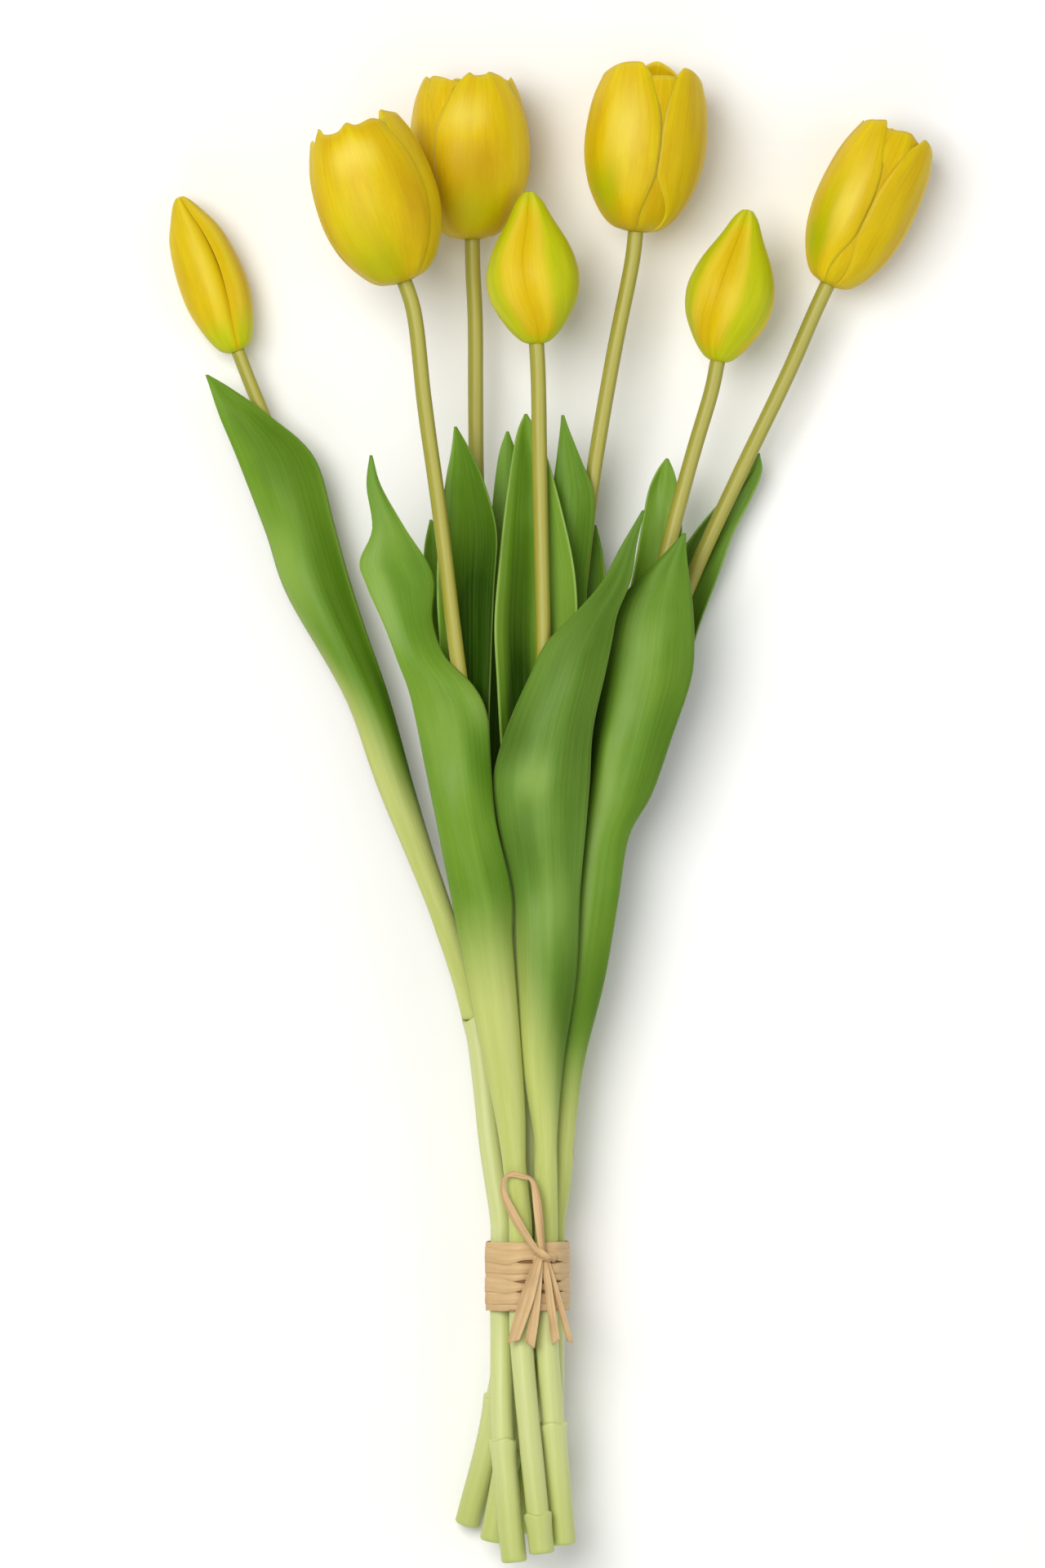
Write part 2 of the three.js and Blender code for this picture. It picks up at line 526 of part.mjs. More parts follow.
// How much of its full half angle a petal covers at v
function petalShare(v) {
  const { foot, fullFrom, roundedFrom, levelPower, widthPower, tip } = petalShape;
  const widening = THREE.MathUtils.lerp(foot, 1, THREE.MathUtils.smoothstep(v, 0, fullFrom));
  const beyond = Math.max(0, (v - roundedFrom) / (1 - roundedFrom));
  return widening * Math.max(tip, (1 - beyond ** levelPower) ** (1 / widthPower));
}

function petal(length, width, outline, form) {
  const { turn, reach, tall, lean, inset } = form;
  const at = through(outline);
  const middle = (u, v) => {
    const [share, level] = at(v);
    const angle = degrees(turn + u * reach * petalShare(v));
    const radius = Math.max(smallestRadius, (width / 2) * (share + lean * level) - inset);
    return new THREE.Vector3(radius * Math.sin(angle), length * tall * level, radius * Math.cos(angle));
  };
  return toSolid(sheet(petalColumns, petalRows, () => petalThickness, middle));
}

// What the petals of a bloom grow from
function flowerFoot() {
  const { rim, height, footShare, rimLevel, topShare } = receptacle;
  const radius = stemRadius + rim;
  const profile = [[0, 0], [radius * footShare, 0], [radius, height * rimLevel], [radius * topShare, height], [0, height]];
  return toSolid(turned(profile, stemSides));
}

function openBloom(length, form) {
  const layer = (petals, reach, inset) => petals.map(([turn, tall, lean]) => (
    petal(length, form.width - petalThickness, bloomOutline, { turn: form.turn + turn, tall, lean, reach, inset })
  ));
  const [outerReach, innerReach] = form.reach;
  return joined([flowerFoot(), ...layer(form.outer, outerReach, 0), ...layer(form.inner, innerReach, petalLayerStep)]);
}

// A closed bud, raised by a formula: three petals, each of which sinks towards its margins and lies with its
// left margin over the right margin of the next
function closedBud(length, form) {
  const at = through(form.outline);
  const petalAngle = wholeTurn / budPetals;
  const profile = [[0, 0]];
  for (let row = 0; row <= budRows; row += 1) {
    const [share, level] = at(row / budRows);
    profile.push([(share * form.width) / 2, level * length]);
  }
  profile.push([0, length]);
  const lathe = turned(profile, budPetals * budColumns.length);
  const positions = lathe.getAttribute('position');
  for (let i = 0; i < positions.count; i += 1) {
    const column = Math.floor(i / profile.length) % (budPetals * budColumns.length);
    const across = budColumns[column % budColumns.length];
    const angle = degrees(form.turn + petalAngle * (Math.floor(column / budColumns.length) + across / 2));
    const level = THREE.MathUtils.clamp(positions.getY(i) / length, 0, 1);
    const hollow = budHollow.depth * Math.abs(across) ** budHollow.power;
    const sunk = hollow + budOverlap.depth * Math.max(0, across) ** budOverlap.power;
    const full = Math.hypot(positions.getX(i), positions.getZ(i));
    const radius = Math.max(full * leastBudShare, full - sunk * Math.sqrt(4 * level * (1 - level)));
    positions.setXYZ(i, radius * Math.sin(angle), positions.getY(i), radius * Math.cos(angle));
  }
  return toSolid(lathe);
}

function flower(form) {
  const place = tulips[form.tulip].flower;
  const build = form.outline ? closedBud : openBloom;
  return build(flowerLength(place), form).transform(flowerFrame(place).elements);
}

// The pistil with six stamens round its foot, standing inside an open bloom
function pistil(form) {
  const { count, lean, reach, rise } = stamens;
  const solids = [toSolid(turned(pistilColumn, pistilSides))];
  for (let i = 0; i < count; i += 1) {
    const turn = degrees((wholeTurn / count) * (i + 0.5));
    const stamen = turned(stamenProfile, stamenSides).rotateX(degrees(lean)).translate(0, rise, reach).rotateY(turn);
    solids.push(toSolid(stamen));
  }
  const frame = flowerFrame(tulips[form.tulip].flower);
  return joined(solids).transform(frame.multiply(new THREE.Matrix4().makeTranslation(0, pistilRaise, 0)).elements);
}

// Raffia

// The outline of the stems at the tie, grown by the given distance, in the plane across the bunch
function tieOutline(distance) {
  const grown = lowerStemRadius + distance;
  const angles = Object.values(tulips).map(({ tieAngle }) => tieAngle).filter((angle) => angle !== undefined);
  const halfArc = wholeTurn / angles.length / 2;
  const shape = new THREE.Path();
  for (const angle of angles.sort((a, b) => a - b)) {
    const spot = tieSpot({ tieAngle: angle });
    shape.absarc(spot.x, spot.y, grown, degrees(angle - halfArc), degrees(angle + halfArc), false);
  }
  return shape.getPoints(1);
}

function winding(index, count) {
  const pitch = (tieTop - tieBottom) / count;
  const shape = new THREE.Shape(tieOutline(tieGap + windingThickness[index]));
  shape.holes.push(new THREE.Path(tieOutline(tieGap)));
  const ring = new THREE.ExtrudeGeometry(shape, { depth: pitch + windingOverlap, bevelEnabled: false });
  ring.rotateX(degrees(quarterTurn)).translate(0, tieTop - index * pitch, 0);
  return toSolid(ring);
}

// A flat strip along points, lying face up
function strip({ points, widths }) {
  const places = points.map((point) => new THREE.Vector3(...point));
  const curve = new THREE.CatmullRomCurve3(places, false, 'catmullrom', curveTension);
  const middle = (u, v) => {
    const across = curve.getTangent(v).cross(upward).normalize();
    return curve.getPoint(v).addScaledVector(across, (u * THREE.MathUtils.lerp(...widths, v)) / 2);
  };
  return toSolid(sheet(1, points.length + 2, () => raffiaThickness, middle));
}

function raffiaTie() {
  const lump = new THREE.IcosahedronGeometry(1, 1).scale(...knot.size).translate(...knot.place);
  const windings = windingThickness.map((_, index) => winding(index, windingThickness.length));
  return joined([...windings, toSolid(lump), ...strips.map(strip)]);
}

// The bunch

const bunch = new THREE.Group();

function add(name, solid, look) {
  const material = new THREE.MeshStandardMaterial({ ...look, metalness: 0 });
  const mesh = new THREE.Mesh(toGeometry(solid), material);
  mesh.name = name;
  bunch.add(mesh);
}

for (const [name, tulip] of Object.entries(tulips)) add(`stem_${name}`, restingOnTable(stem(tulip)), looks.stem);
for (const [name, form] of Object.entries(leaves)) add(name, leaf(form), looks.leaf);
for (const [name, form] of Object.entries(flowers)) {
  add(name, restingOnTable(flower(form)), form.outline ? looks.budPetal : looks.petal);
}
for (const [name, form] of Object.entries(flowers).filter(([, each]) => !each.outline)) {
  add(name.replace('bloom', 'pistil'), pistil(form), looks.pistil);
}
add('raffia_tie', raffiaTie(), looks.raffia);

export default bunch;
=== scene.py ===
import bisect
import math

import bmesh
import bpy
from mathutils import Matrix, Vector, noise


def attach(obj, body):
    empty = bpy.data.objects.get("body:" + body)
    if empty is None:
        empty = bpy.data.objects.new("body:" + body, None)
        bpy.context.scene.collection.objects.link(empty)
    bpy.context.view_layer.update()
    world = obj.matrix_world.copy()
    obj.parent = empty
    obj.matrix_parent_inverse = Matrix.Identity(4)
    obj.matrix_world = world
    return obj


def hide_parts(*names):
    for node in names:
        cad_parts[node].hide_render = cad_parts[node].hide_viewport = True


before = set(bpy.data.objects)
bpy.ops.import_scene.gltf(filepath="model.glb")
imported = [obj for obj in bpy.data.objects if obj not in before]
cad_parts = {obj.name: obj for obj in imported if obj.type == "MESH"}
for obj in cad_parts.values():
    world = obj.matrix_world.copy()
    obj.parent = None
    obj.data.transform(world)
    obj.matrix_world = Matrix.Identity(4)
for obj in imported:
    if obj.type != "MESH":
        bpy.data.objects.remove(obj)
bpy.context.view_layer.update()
scene = bpy.context.scene
mm = 0.001  # in metres
weldReach = 0.002 * mm  # points closer than this become one
up = Vector((0, 0, 1))
print("frame loaded")

# Camera and light

cameraSettings = {
    "middle": (-9.5, 8.1, 26),  # mm, what the middle of the photo shows
    "frameHeight": 480,  # mm, 1920 pixels at a quarter of a millimetre
    "distance": 5000,  # mm
    "sensor": 36,
    "clip": (0.1, 60),  # metres
}

# Places and sizes in metres
lightSettings = {
    "key": {"place": (-0.6, 0.45, 1.75), "size": (1.1, 1.3), "power": 30, "colour": (1, 0.985, 0.96)},
    "fill": {"place": (1.5, -0.2, 1.3), "size": (1.4, 1.6), "power": 7, "colour": (0.97, 0.985, 1)},
    "foot": {"place": (-0.3, -1.6, 1.2), "size": (1.2, 0.8), "power": 5, "colour": (1, 1, 1)},
}
worldSettings = {"colour": (1, 1, 1, 1), "strength": 0.32}


def addCamera(settings):
    data = bpy.data.cameras.new("camera")
    data.sensor_width = settings["sensor"]
    data.lens = settings["sensor"] * settings["distance"] / settings["frameHeight"]
    data.clip_start, data.clip_end = settings["clip"]
    camera = bpy.data.objects.new("camera", data)
    camera.location = (Vector(settings["middle"]) + up * settings["distance"]) * mm
    scene.collection.objects.link(camera)
    scene.camera = camera


def addLight(name, settings):
    data = bpy.data.lights.new(name, "AREA")
    data.shape = "RECTANGLE"
    data.size, data.size_y = settings["size"]
    data.energy = settings["power"]
    data.color = settings["colour"]
    light = bpy.data.objects.new(name, data)
    light.location = settings["place"]
    light.rotation_euler = (-Vector(settings["place"])).to_track_quat("-Z", "Y").to_euler()
    scene.collection.objects.link(light)


def addWorld(settings):
    world = bpy.data.worlds.new("studio")
    world.use_nodes = True
    background = world.node_tree.nodes["Background"]
    background.inputs["Color"].default_value = settings["colour"]
    background.inputs["Strength"].default_value = settings["strength"]
    scene.world = world
    scene.view_settings.view_transform = "Standard"


addCamera(cameraSettings)
for lightName, lightForm in lightSettings.items():
    addLight(lightName, lightForm)
addWorld(worldSettings)
print("camera and light set")

# Node helpers


def colour(red, green, blue):  # screen values from 0 to 255, as a linear colour
    def linear(value):
        share = value / 255
        return share / 12.92 if share <= 0.04045 else ((share + 0.055) / 1.055) ** 2.4
    return (linear(red), linear(green), linear(blue), 1)


def addNode(tree, kind, inputs=None, **settings):
    node = tree.nodes.new(kind)
    for name, value in settings.items():
        setattr(node, name, value)
    for name, value in (inputs or {}).items():
        if isinstance(value, bpy.types.NodeSocket):
            tree.links.new(value, node.inputs[name])
        else:
            node.inputs[name].default_value = value
    return node


def sums(tree, operation, first, second=0.0):
    return addNode(tree, "ShaderNodeMath", {0: first, 1: second}, operation=operation).outputs[0]


def distanceFrom(tree, value, middle=0.5):
    return sums(tree, "ABSOLUTE", sums(tree, "SUBTRACT", value, middle))


def mixed(tree, share, first, second):
    mix = addNode(tree, "ShaderNodeMix", {0: share, 6: first, 7: second}, data_type="RGBA")
    return mix.outputs[2]


def twoTone(tree, mask, pair):
    return mixed(tree, mask, colour(*pair[0]), colour(*pair[1]))


def tinted(tree, base, mask, layer):  # the base with a layer's amount of its colour where the mask is
    amount, tint = layer
    return mixed(tree, sums(tree, "MULTIPLY", mask, amount), base, colour(*tint))


def ramp(tree, value, low, high, start=0.0, end=1.0):
    inputs = {"Value": value, "From Min": low, "From Max": high, "To Min": start, "To Max": end}
    return addNode(tree, "ShaderNodeMapRange", inputs, interpolation_type="SMOOTHSTEP").outputs["Result"]


def attribute(tree, name):
    return addNode(tree, "ShaderNodeAttribute", attribute_name=name).outputs["Fac"]


def uvPlace(tree, layer):
    return addNode(tree, "ShaderNodeUVMap", uv_map=layer).outputs["UV"]


def sharePlace(tree):  # the place across and along the piece, both from 0 to 1
    return addNode(tree, "ShaderNodeSeparateXYZ", {0: uvPlace(tree, "share")}).outputs[:2]


def newMaterial(name, settings):
    material = bpy.data.materials.new(name)
    material.use_nodes = True
    shader = material.node_tree.nodes["Principled BSDF"]
    for socket, value in settings.items():
        shader.inputs[socket].default_value = value
    return material, material.node_tree, shader


def bumped(tree, shader, height, strength, distance):
    bump = addNode(tree, "ShaderNodeBump", {"Height": height, "Strength": strength, "Distance": distance})
    tree.links.new(bump.outputs["Normal"], shader.inputs["Normal"])


# Effects that several materials share, as groups that put out one mask


def newGroup(name, sockets):
    tree = bpy.data.node_groups.new(name, "ShaderNodeTree")
    for socket, kind in sockets.items():
        tree.interface.new_socket(socket, in_out="INPUT", socket_type=kind)
    tree.interface.new_socket("Mask", in_out="OUTPUT", socket_type="NodeSocketFloat")
    return tree, tree.nodes.new("NodeGroupInput").outputs


def finishGroup(tree, cloud, low, high):
    mask = ramp(tree, cloud.outputs["Fac"], low, high)
    tree.links.new(mask, tree.nodes.new("NodeGroupOutput").inputs["Mask"])
    return tree


def streaksGroup():  # long thin streaks, from a UV map in centimetres
    tree, given = newGroup("long streaks", {"Place": "NodeSocketVector", "Across": "NodeSocketFloat",
                                            "Along": "NodeSocketFloat"})
    scale = addNode(tree, "ShaderNodeCombineXYZ", {"X": given["Across"], "Y": given["Along"], "Z": 1})
    place = addNode(tree, "ShaderNodeVectorMath", {0: given["Place"], 1: scale.outputs[0]},
                    operation="MULTIPLY")
    cloud = addNode(tree, "ShaderNodeTexNoise", {"Vector": place.outputs[0], "Scale": 1, "Detail": 4,
                                                 "Roughness": 0.62})
    return finishGroup(tree, cloud, 0.3, 0.7)


def mottleGroup():  # soft clouds in the solid
    tree, given = newGroup("soft mottle", {"Size": "NodeSocketFloat"})
    place = addNode(tree, "ShaderNodeTexCoord").outputs["Object"]
    cloud = addNode(tree, "ShaderNodeTexNoise", {"Vector": place, "Scale": given["Size"], "Detail": 3})
    return finishGroup(tree, cloud, 0.32, 0.68)


longStreaks = streaksGroup()
softMottle = mottleGroup()


def streakMask(tree, across, along):  # streaks for each centimetre across and along the piece
    inputs = {"Place": uvPlace(tree, "span"), "Across": across, "Along": along}
    return addNode(tree, "ShaderNodeGroup", inputs, node_tree=longStreaks).outputs["Mask"]


def mottleMask(tree, size):
    return addNode(tree, "ShaderNodeGroup", {"Size": size}, node_tree=softMottle).outputs["Mask"]


# A look holds the shader's settings, the sizes of its streaks, the strength and depth of its bump, grounds as two
# colours, and layers over them as an amount and a colour
def streakedMaterial(name, look, paint):  # paint puts out the colour, from fine and broad streaks
    material, tree, shader = newMaterial(name, look["shader"])
    fine, broad = (streakMask(tree, *look[streaks]) for streaks in ("fineStreaks", "broadStreaks"))
    tree.links.new(paint(tree, look, fine, broad), shader.inputs["Base Color"])
    bumped(tree, shader, fine, *look["bump"])
    return material


# Curves and grids


def blendPoints(values, slopes, share):  # a cubic between two values with the given slopes
    start, end = values
    first, last = slopes
    square = -3 * start + 3 * end - 2 * first - last
    cube = 2 * start - 2 * end + first + last
    return start + share * (first + share * (square + share * cube))


def pathThrough(rows, centripetal=False):
    # at(t) runs smoothly through rows of numbers, from the first row at 0 to the last at 1
    rows = [tuple(row) for row in rows]
    before = tuple(2 * a - b for a, b in zip(rows[0], rows[1]))
    after = tuple(2 * a - b for a, b in zip(rows[-1], rows[-2]))
    padded = [before, *rows, after]
    kept = {}

    def at(t):
        if t in kept:
            return kept[t]
        place = min(max(t, 0), 1) * (len(rows) - 1)
        index = min(int(place), len(rows) - 2)
        around = padded[index:index + 4]
        gaps = [1, 1, 1]
        if centripetal:
            gaps = [max(math.sqrt(math.dist(a, b)), 1e-3) for a, b in zip(around, around[1:])]
        values = []
        for a, b, c, d in zip(*around):
            if centripetal:
                first = ((b - a) / gaps[0] - (c - a) / (gaps[0] + gaps[1]) + (c - b) / gaps[1]) * gaps[1]
                last = ((c - b) / gaps[1] - (d - b) / (gaps[1] + gaps[2]) + (d - c) / gaps[2]) * gaps[1]
            else:
                first, last = (c - a) / 2, (d - b) / 2
            values.append(blendPoints((b, c), (first, last), place - index))
        kept[t] = tuple(values)
        return kept[t]
    return at


def smooth(low, high, value):
    share = min(max((value - low) / (high - low), 0), 1)
    return share * share * (3 - 2 * share)


def spacedLevels(start, end, spacing):
    count = max(1, round((end - start) / spacing))
    return [start + (end - start) * i / count for i in range(count)]


def patches(rows, level, across):
    # the sum of soft patches, as rows of level, place across, reach along, reach across and amount
    return sum(amount * math.exp(-((level - middle) / along) ** 2 - ((across - side) / beside) ** 4)
               for middle, side, along, beside, amount in rows)


def finishedPiece(bm, name):
    mesh = bpy.data.meshes.new(name)
    bm.to_mesh(mesh)
    bm.free()
    mesh.polygons.foreach_set("use_smooth", [True] * len(mesh.polygons))
    piece = bpy.data.objects.new(name, mesh)
    scene.collection.objects.link(piece)
    return piece


def gridPiece(name, columns, rows, place, span, values, closed=False):
    # a grid moved to place(u, v) in mm, with u from -1 to 1 across and v from 0 to 1 along, and span in cm
    bm = bmesh.new()
    bmesh.ops.create_grid(bm, x_segments=columns, y_segments=rows, size=1)
    shareMap = bm.loops.layers.uv.new("share")
    spanMap = bm.loops.layers.uv.new("span")
    for face in bm.faces:
        for loop in face.loops:
            x, y = loop.vert.co.xy
            loop[shareMap].uv = ((x + 1) / 2, (y + 1) / 2)
            loop[spanMap].uv = (x * span[0] / 2, (y + 1) / 2 * span[1])
    spots = [(round(vert.co.x, 5), round((vert.co.y + 1) / 2, 5)) for vert in bm.verts]
    for valueName in values(0, 0):
        layer = bm.verts.layers.float.new(valueName)
        for vert, spot in zip(bm.verts, spots):
            vert[layer] = values(*spot)[valueName]
    for vert, spot in zip(bm.verts, spots):
        vert.co = Vector(place(*spot)) * mm
    if closed:
        bmesh.ops.remove_doubles(bm, verts=bm.verts[:], dist=weldReach)
    bmesh.ops.recalc_face_normals(bm, faces=bm.faces[:])
    return finishedPiece(bm, name)


def thicken(piece, thickness, weights=None, thinnest=0.5):
    # the sheet gets walls on both sides of it, thinner where weights(u, v) is low
    wall = piece.modifiers.new("thickness", "SOLIDIFY")
    wall.thickness = thickness * mm
    wall.offset = 0
    wall.use_even_offset = False
    if weights:
        group = piece.vertex_groups.new(name="thick")
        spots = {}
        for loop, uv in zip(piece.data.loops, piece.data.uv_layers["share"].data):
            spots[loop.vertex_index] = (uv.uv.x * 2 - 1, uv.uv.y)
        for index, spot in spots.items():
            group.add([index], weights(*spot), "REPLACE")
        wall.vertex_group = "thick"
        wall.thickness_vertex_group = thinnest


def dress(piece, node, material):
    piece.data.materials.append(material)
    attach(piece, "root")
    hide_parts(node)


# Floor

floorSettings = {"half": 20, "level": -0.0004, "colour": (248, 248, 247)}  # metres


def addFloor(settings):
    bm = bmesh.new()
    bmesh.ops.create_grid(bm, x_segments=1, y_segments=1, size=settings["half"])
    bmesh.ops.translate(bm, verts=bm.verts[:], vec=(0, 0, settings["level"]))
    floor = finishedPiece(bm, "floor")
    material, _, _ = newMaterial("pale floor", {"Base Color": colour(*settings["colour"]), "Roughness": 0.9,
                                                "Specular IOR Level": 0.1})
    floor.data.materials.append(material)


addFloor(floorSettings)

# Stems

stemSettings = {
    "thin": 2.4, "budThin": 2.15, "lower": 3.58, "sleeve": 4.02,  # mm, radii
    "sides": 28, "spacing": 2.6, "tieTop": -131.8, "tieBottom": -153.6, "tiePitch": 8.15,
    "tieCentre": (-8, 20.5), "straight": 5, "intoFlower": 1.6, "belowFlower": 9,
    # Rings near the cut end and near a step: how far above it, and how much less the radius is
    "cutRings": [(0, 4.02), (0, 0.95), (0.12, 0.5), (0.35, 0.2), (0.75, 0)], "aboveCut": 1.4,
    "stepRings": [(-0.9, 0), (-0.35, 0), (-0.1, 0.12), (0, 0.35)], "belowStep": 1.5, "aboveStep": 0.7,
    "flare": 0.45, "ragged": 0.55, "evenShare": 0.975, "uneven": 0.03,
}

# Each tulip: its place round the tie in degrees, the level where the lower stem ends, the level of its
# cut sleeve, the points of its stem below and above the tie, and the foot and the top of its flower
tulips = {
    "far_left": {
        "tieAngle": 165, "node": -63.5, "sleeve": -192.6, "bud": True,
        "below": [(-12, -230.2, 25), (-15.6, -190, 24.6)],
        "above": [(-19.3, -102, 22), (-24.4, -63, 20.8), (-35.5, -28, 19), (-49, 8, 16.6), (-58.3, 35, 14.6),
                  (-67.2, 66, 12.8), (-76.5, 90, 11.4), (-86.5, 115, 10.6)],
        "base": (-96.9, 141, 10.4), "tip": (-115.0, 188.4, 10.4),
    },
    "left": {
        "tieAngle": 105, "node": -142.6, "sleeve": -215,
        "below": [(-3.5, -227.4, 28.5), (-7.4, -190, 28.5)],
        "above": [(-11.6, -112, 30.4), (-15.2, -77, 33), (-19.6, -27, 36.2), (-24.6, 15, 38.7), (-29.2, 45, 40.4),
                  (-34.4, 88, 42.2), (-39.5, 125, 43.4)],
        "base": (-45.7, 161.6, 44.2), "tip": (-61.9, 210.2, 45.4),
    },
    "back_left": {
        "tieAngle": -135, "node": -86, "sleeve": -180,
        "below": [(-26.5, -219.6, 3.55), (-19, -190, 9.1)],
        "above": [(-14.6, -112, 13.6), (-15.8, -77, 12.6), (-17.5, -10, 12.3), (-19, 25, 13.2), (-22, 70, 15.6),
                  (-23.7, 106, 17.6), (-24, 150, 19)],
        "base": (-24.9, 175.4, 19.8), "tip": (-26, 225.8, 20.4),
    },
    "middle": {
        "tieAngle": 45, "node": -142.6, "sleeve": -187.4,
        "below": [(3, -224.9, 22.5), (0, -190, 24.3)],
        "above": [(-2.4, -112, 28.4), (-2.5, -77, 31), (-2.6, -25, 33.2), (-2.7, 15, 34.4), (-3.2, 55, 35),
                  (-4.2, 100, 34.8)],
        "base": (-5.2, 142.6, 34.2), "tip": (-7.6, 189.2, 34.2),
    },
    "back_right": {
        "node": -86, "sleeve": -196,
        "below": [(-18.8, -224.4, 12.5), (-12.5, -190, 15)],
        "above": [(-7, -112, 20.8), (-5.8, -77, 21), (-0.4, -10, 21.6), (3.2, 25, 21.8), (8.2, 70, 22),
                  (11.8, 100, 22), (18.5, 140, 21.6)],
        "base": (25.2, 177.6, 21.2), "tip": (31, 230.4, 21.2),
    },
    "right": {
        "tieAngle": -15, "node": -142.6, "sleeve": -190,
        "below": [(0.5, -221.9, 12.5), (-0.2, -190, 15.3)],
        "above": [(2.1, -112, 20.2), (4.3, -77, 22.2), (11.7, -27, 25.2), (20, 15, 27), (26.8, 45, 27.6),
                  (35.4, 82, 27.2), (43.5, 112, 26.2)],
        "base": (50.2, 137.4, 25.4), "tip": (59.6, 184, 25),
    },
    "far_right": {
        "tieAngle": -75, "node": -86, "sleeve": -200,
        "below": [(-9, -222, 5), (-7.2, -190, 8.6)],
        "above": [(-2.6, -112, 11), (0.4, -77, 10.2), (11, -27, 9), (20.4, 10, 9), (28.4, 35, 9.4),
                  (42.8, 72, 10.8), (59.5, 108, 12.8), (72, 134, 14.4)],
        "base": (84.2, 161.6, 15.2), "tip": (106.4, 209.6, 15.9),
    },
}


def tieSpot(tulip):
    x, z = stemSettings["tieCentre"]
    if "tieAngle" not in tulip:
        return x, z
    angle = math.radians(tulip["tieAngle"])
    return x + stemSettings["tiePitch"] * math.cos(angle), z + stemSettings["tiePitch"] * math.sin(angle)


def flowerAxis(tulip):
    return (Vector(tulip["tip"]) - Vector(tulip["base"])).normalized()


def stemPath(tulip):
    x, z = tieSpot(tulip)
    low, high, straight = (stemSettings[name] for name in ("tieBottom", "tieTop", "straight"))
    tied = [(x, y, z) for y in (low - straight, low, high, high + straight)]
    base, axis = Vector(tulip["base"]), flowerAxis(tulip)
    ends = [tuple(base - axis * stemSettings["belowFlower"]), tuple(base + axis * stemSettings["intoFlower"])]
    return pathThrough([*tulip["below"], *tied, *tulip["above"], *ends], centripetal=True)


def spotAtLevel(curve, y):  # the place on a stem's path at level y, and the way it runs there
    low, high = 0.0, 1.0
    for _ in range(24):
        middle = (low + high) / 2
        if curve(middle)[1] < y:
            low = middle
        else:
            high = middle
    along = Vector(curve(min(high + 0.002, 1))) - Vector(curve(max(high - 0.002, 0)))
    return Vector(curve(high)), along.normalized()


stemPaths = {name: stemPath(tulip) for name, tulip in tulips.items()}


def stemRings(tulip, cut, top):
    # level and radius of each ring, closer to each other at the cut end and at the steps
    sleeve, lower, spacing = (stemSettings[name] for name in ("sleeve", "lower", "spacing"))
    thin = stemSettings["budThin" if tulip.get("bud") else "thin"]
    rings = [(cut + height, sleeve - less) for height, less in stemSettings["cutRings"]]
    start = cut + stemSettings["aboveCut"]
    for step, radius, above in ((tulip["sleeve"], sleeve, lower), (tulip["node"], lower, thin)):
        rings += [(level, radius) for level in spacedLevels(start, step - stemSettings["belowStep"], spacing)]
        rings += [(step + height, radius - less) for height, less in stemSettings["stepRings"]]
        rings.append((step + 0.04, above))
        start = step + stemSettings["aboveStep"]
    rings += [(level, thin) for level in spacedLevels(start, top, spacing)]
    return rings + [(top, thin), (top, 0)]


def addStem(name, tulip):
    curve = stemPaths[name]
    cut, top = curve(0)[1], curve(1)[1]
    rings = stemRings(tulip, cut, top)
    last = len(rings) - 1
    spots = [spotAtLevel(curve, y) for y, _ in rings]
    evenShare, uneven = stemSettings["evenShare"], stemSettings["uneven"]

    def place(u, v):
        index = round(v * last)
        y, radius = rings[index]
        spot, along = spots[index]
        across = along.cross(up).normalized()
        out = across.cross(along)
        angle = math.pi * u
        wobble = noise.noise(Vector((math.cos(angle) * 0.7, math.sin(angle) * 0.7, y / 14)) + spots[0][0])
        below = [tulip[step] - y for step in ("sleeve", "node")]
        flare = max(stemSettings["flare"] * smooth(6, 0.5, depth) * (depth > 0.2) for depth in below)
        radius = (radius + flare) * (evenShare + uneven * wobble)
        nearStep = max(smooth(3, 0, abs(depth)) for depth in below) if 5 < index < last else 0
        ragged = stemSettings["ragged"] * math.sin(3 * angle + tulip["sleeve"]) * nearStep
        moved = spot + along * ragged + across * (-radius * math.sin(angle)) + out * (radius * math.cos(angle))
        return moved.x, moved.y, max(moved.z, 0)

    def values(u, v):
        y, _ = rings[round(v * last)]
        return {"pale": smooth(tulip["node"] + 1, tulip["node"] - 1, y), "wet": smooth(cut + 40, cut, y)}

    span = (1.6, (top - cut) / 10)
    piece = gridPiece(f"stem_{name}_skin", stemSettings["sides"], last, place, span, values, True)
    dress(piece, f"stem_{name}", stemMaterial)


stemLook = {
    "shader": {"Roughness": 0.45, "Subsurface Weight": 0.12, "Subsurface Scale": 0.0015,
               "Subsurface Radius": (0.8, 1, 0.4)},
    "fineStreaks": (7, 0.25), "broadStreaks": (2.6, 0.1), "bump": (0.1, 0.0004),
    "olive": [(148, 144, 42), (166, 160, 58)],
    # A painted highlight: a lighter band along the top of each upper stem, where the light falls
    "shine": (0.45, (188, 182, 98)), "shineMiddle": 0.46, "shineEdge": (0.11, 0.02),
    "pale": [(192, 200, 122), (205, 211, 146)], "fine": (0.15, (212, 218, 158)), "wet": (0.5, (170, 184, 84)),
}


def paintStem(tree, look, fine, broad):
    across, _ = sharePlace(tree)
    # the painted highlight along the top of the stem
    band = ramp(tree, distanceFrom(tree, across, look["shineMiddle"]), *look["shineEdge"])
    olive = tinted(tree, twoTone(tree, broad, look["olive"]), band, look["shine"])
    pale = tinted(tree, twoTone(tree, broad, look["pale"]), fine, look["fine"])
    pale = tinted(tree, pale, attribute(tree, "wet"), look["wet"])
    return mixed(tree, attribute(tree, "pale"), olive, pale)


stemMaterial = streakedMaterial("tulip stem", stemLook, paintStem)
for tulipName, tulipForm in tulips.items():
    addStem(tulipName, tulipForm)
print("stems made")

# Leaves

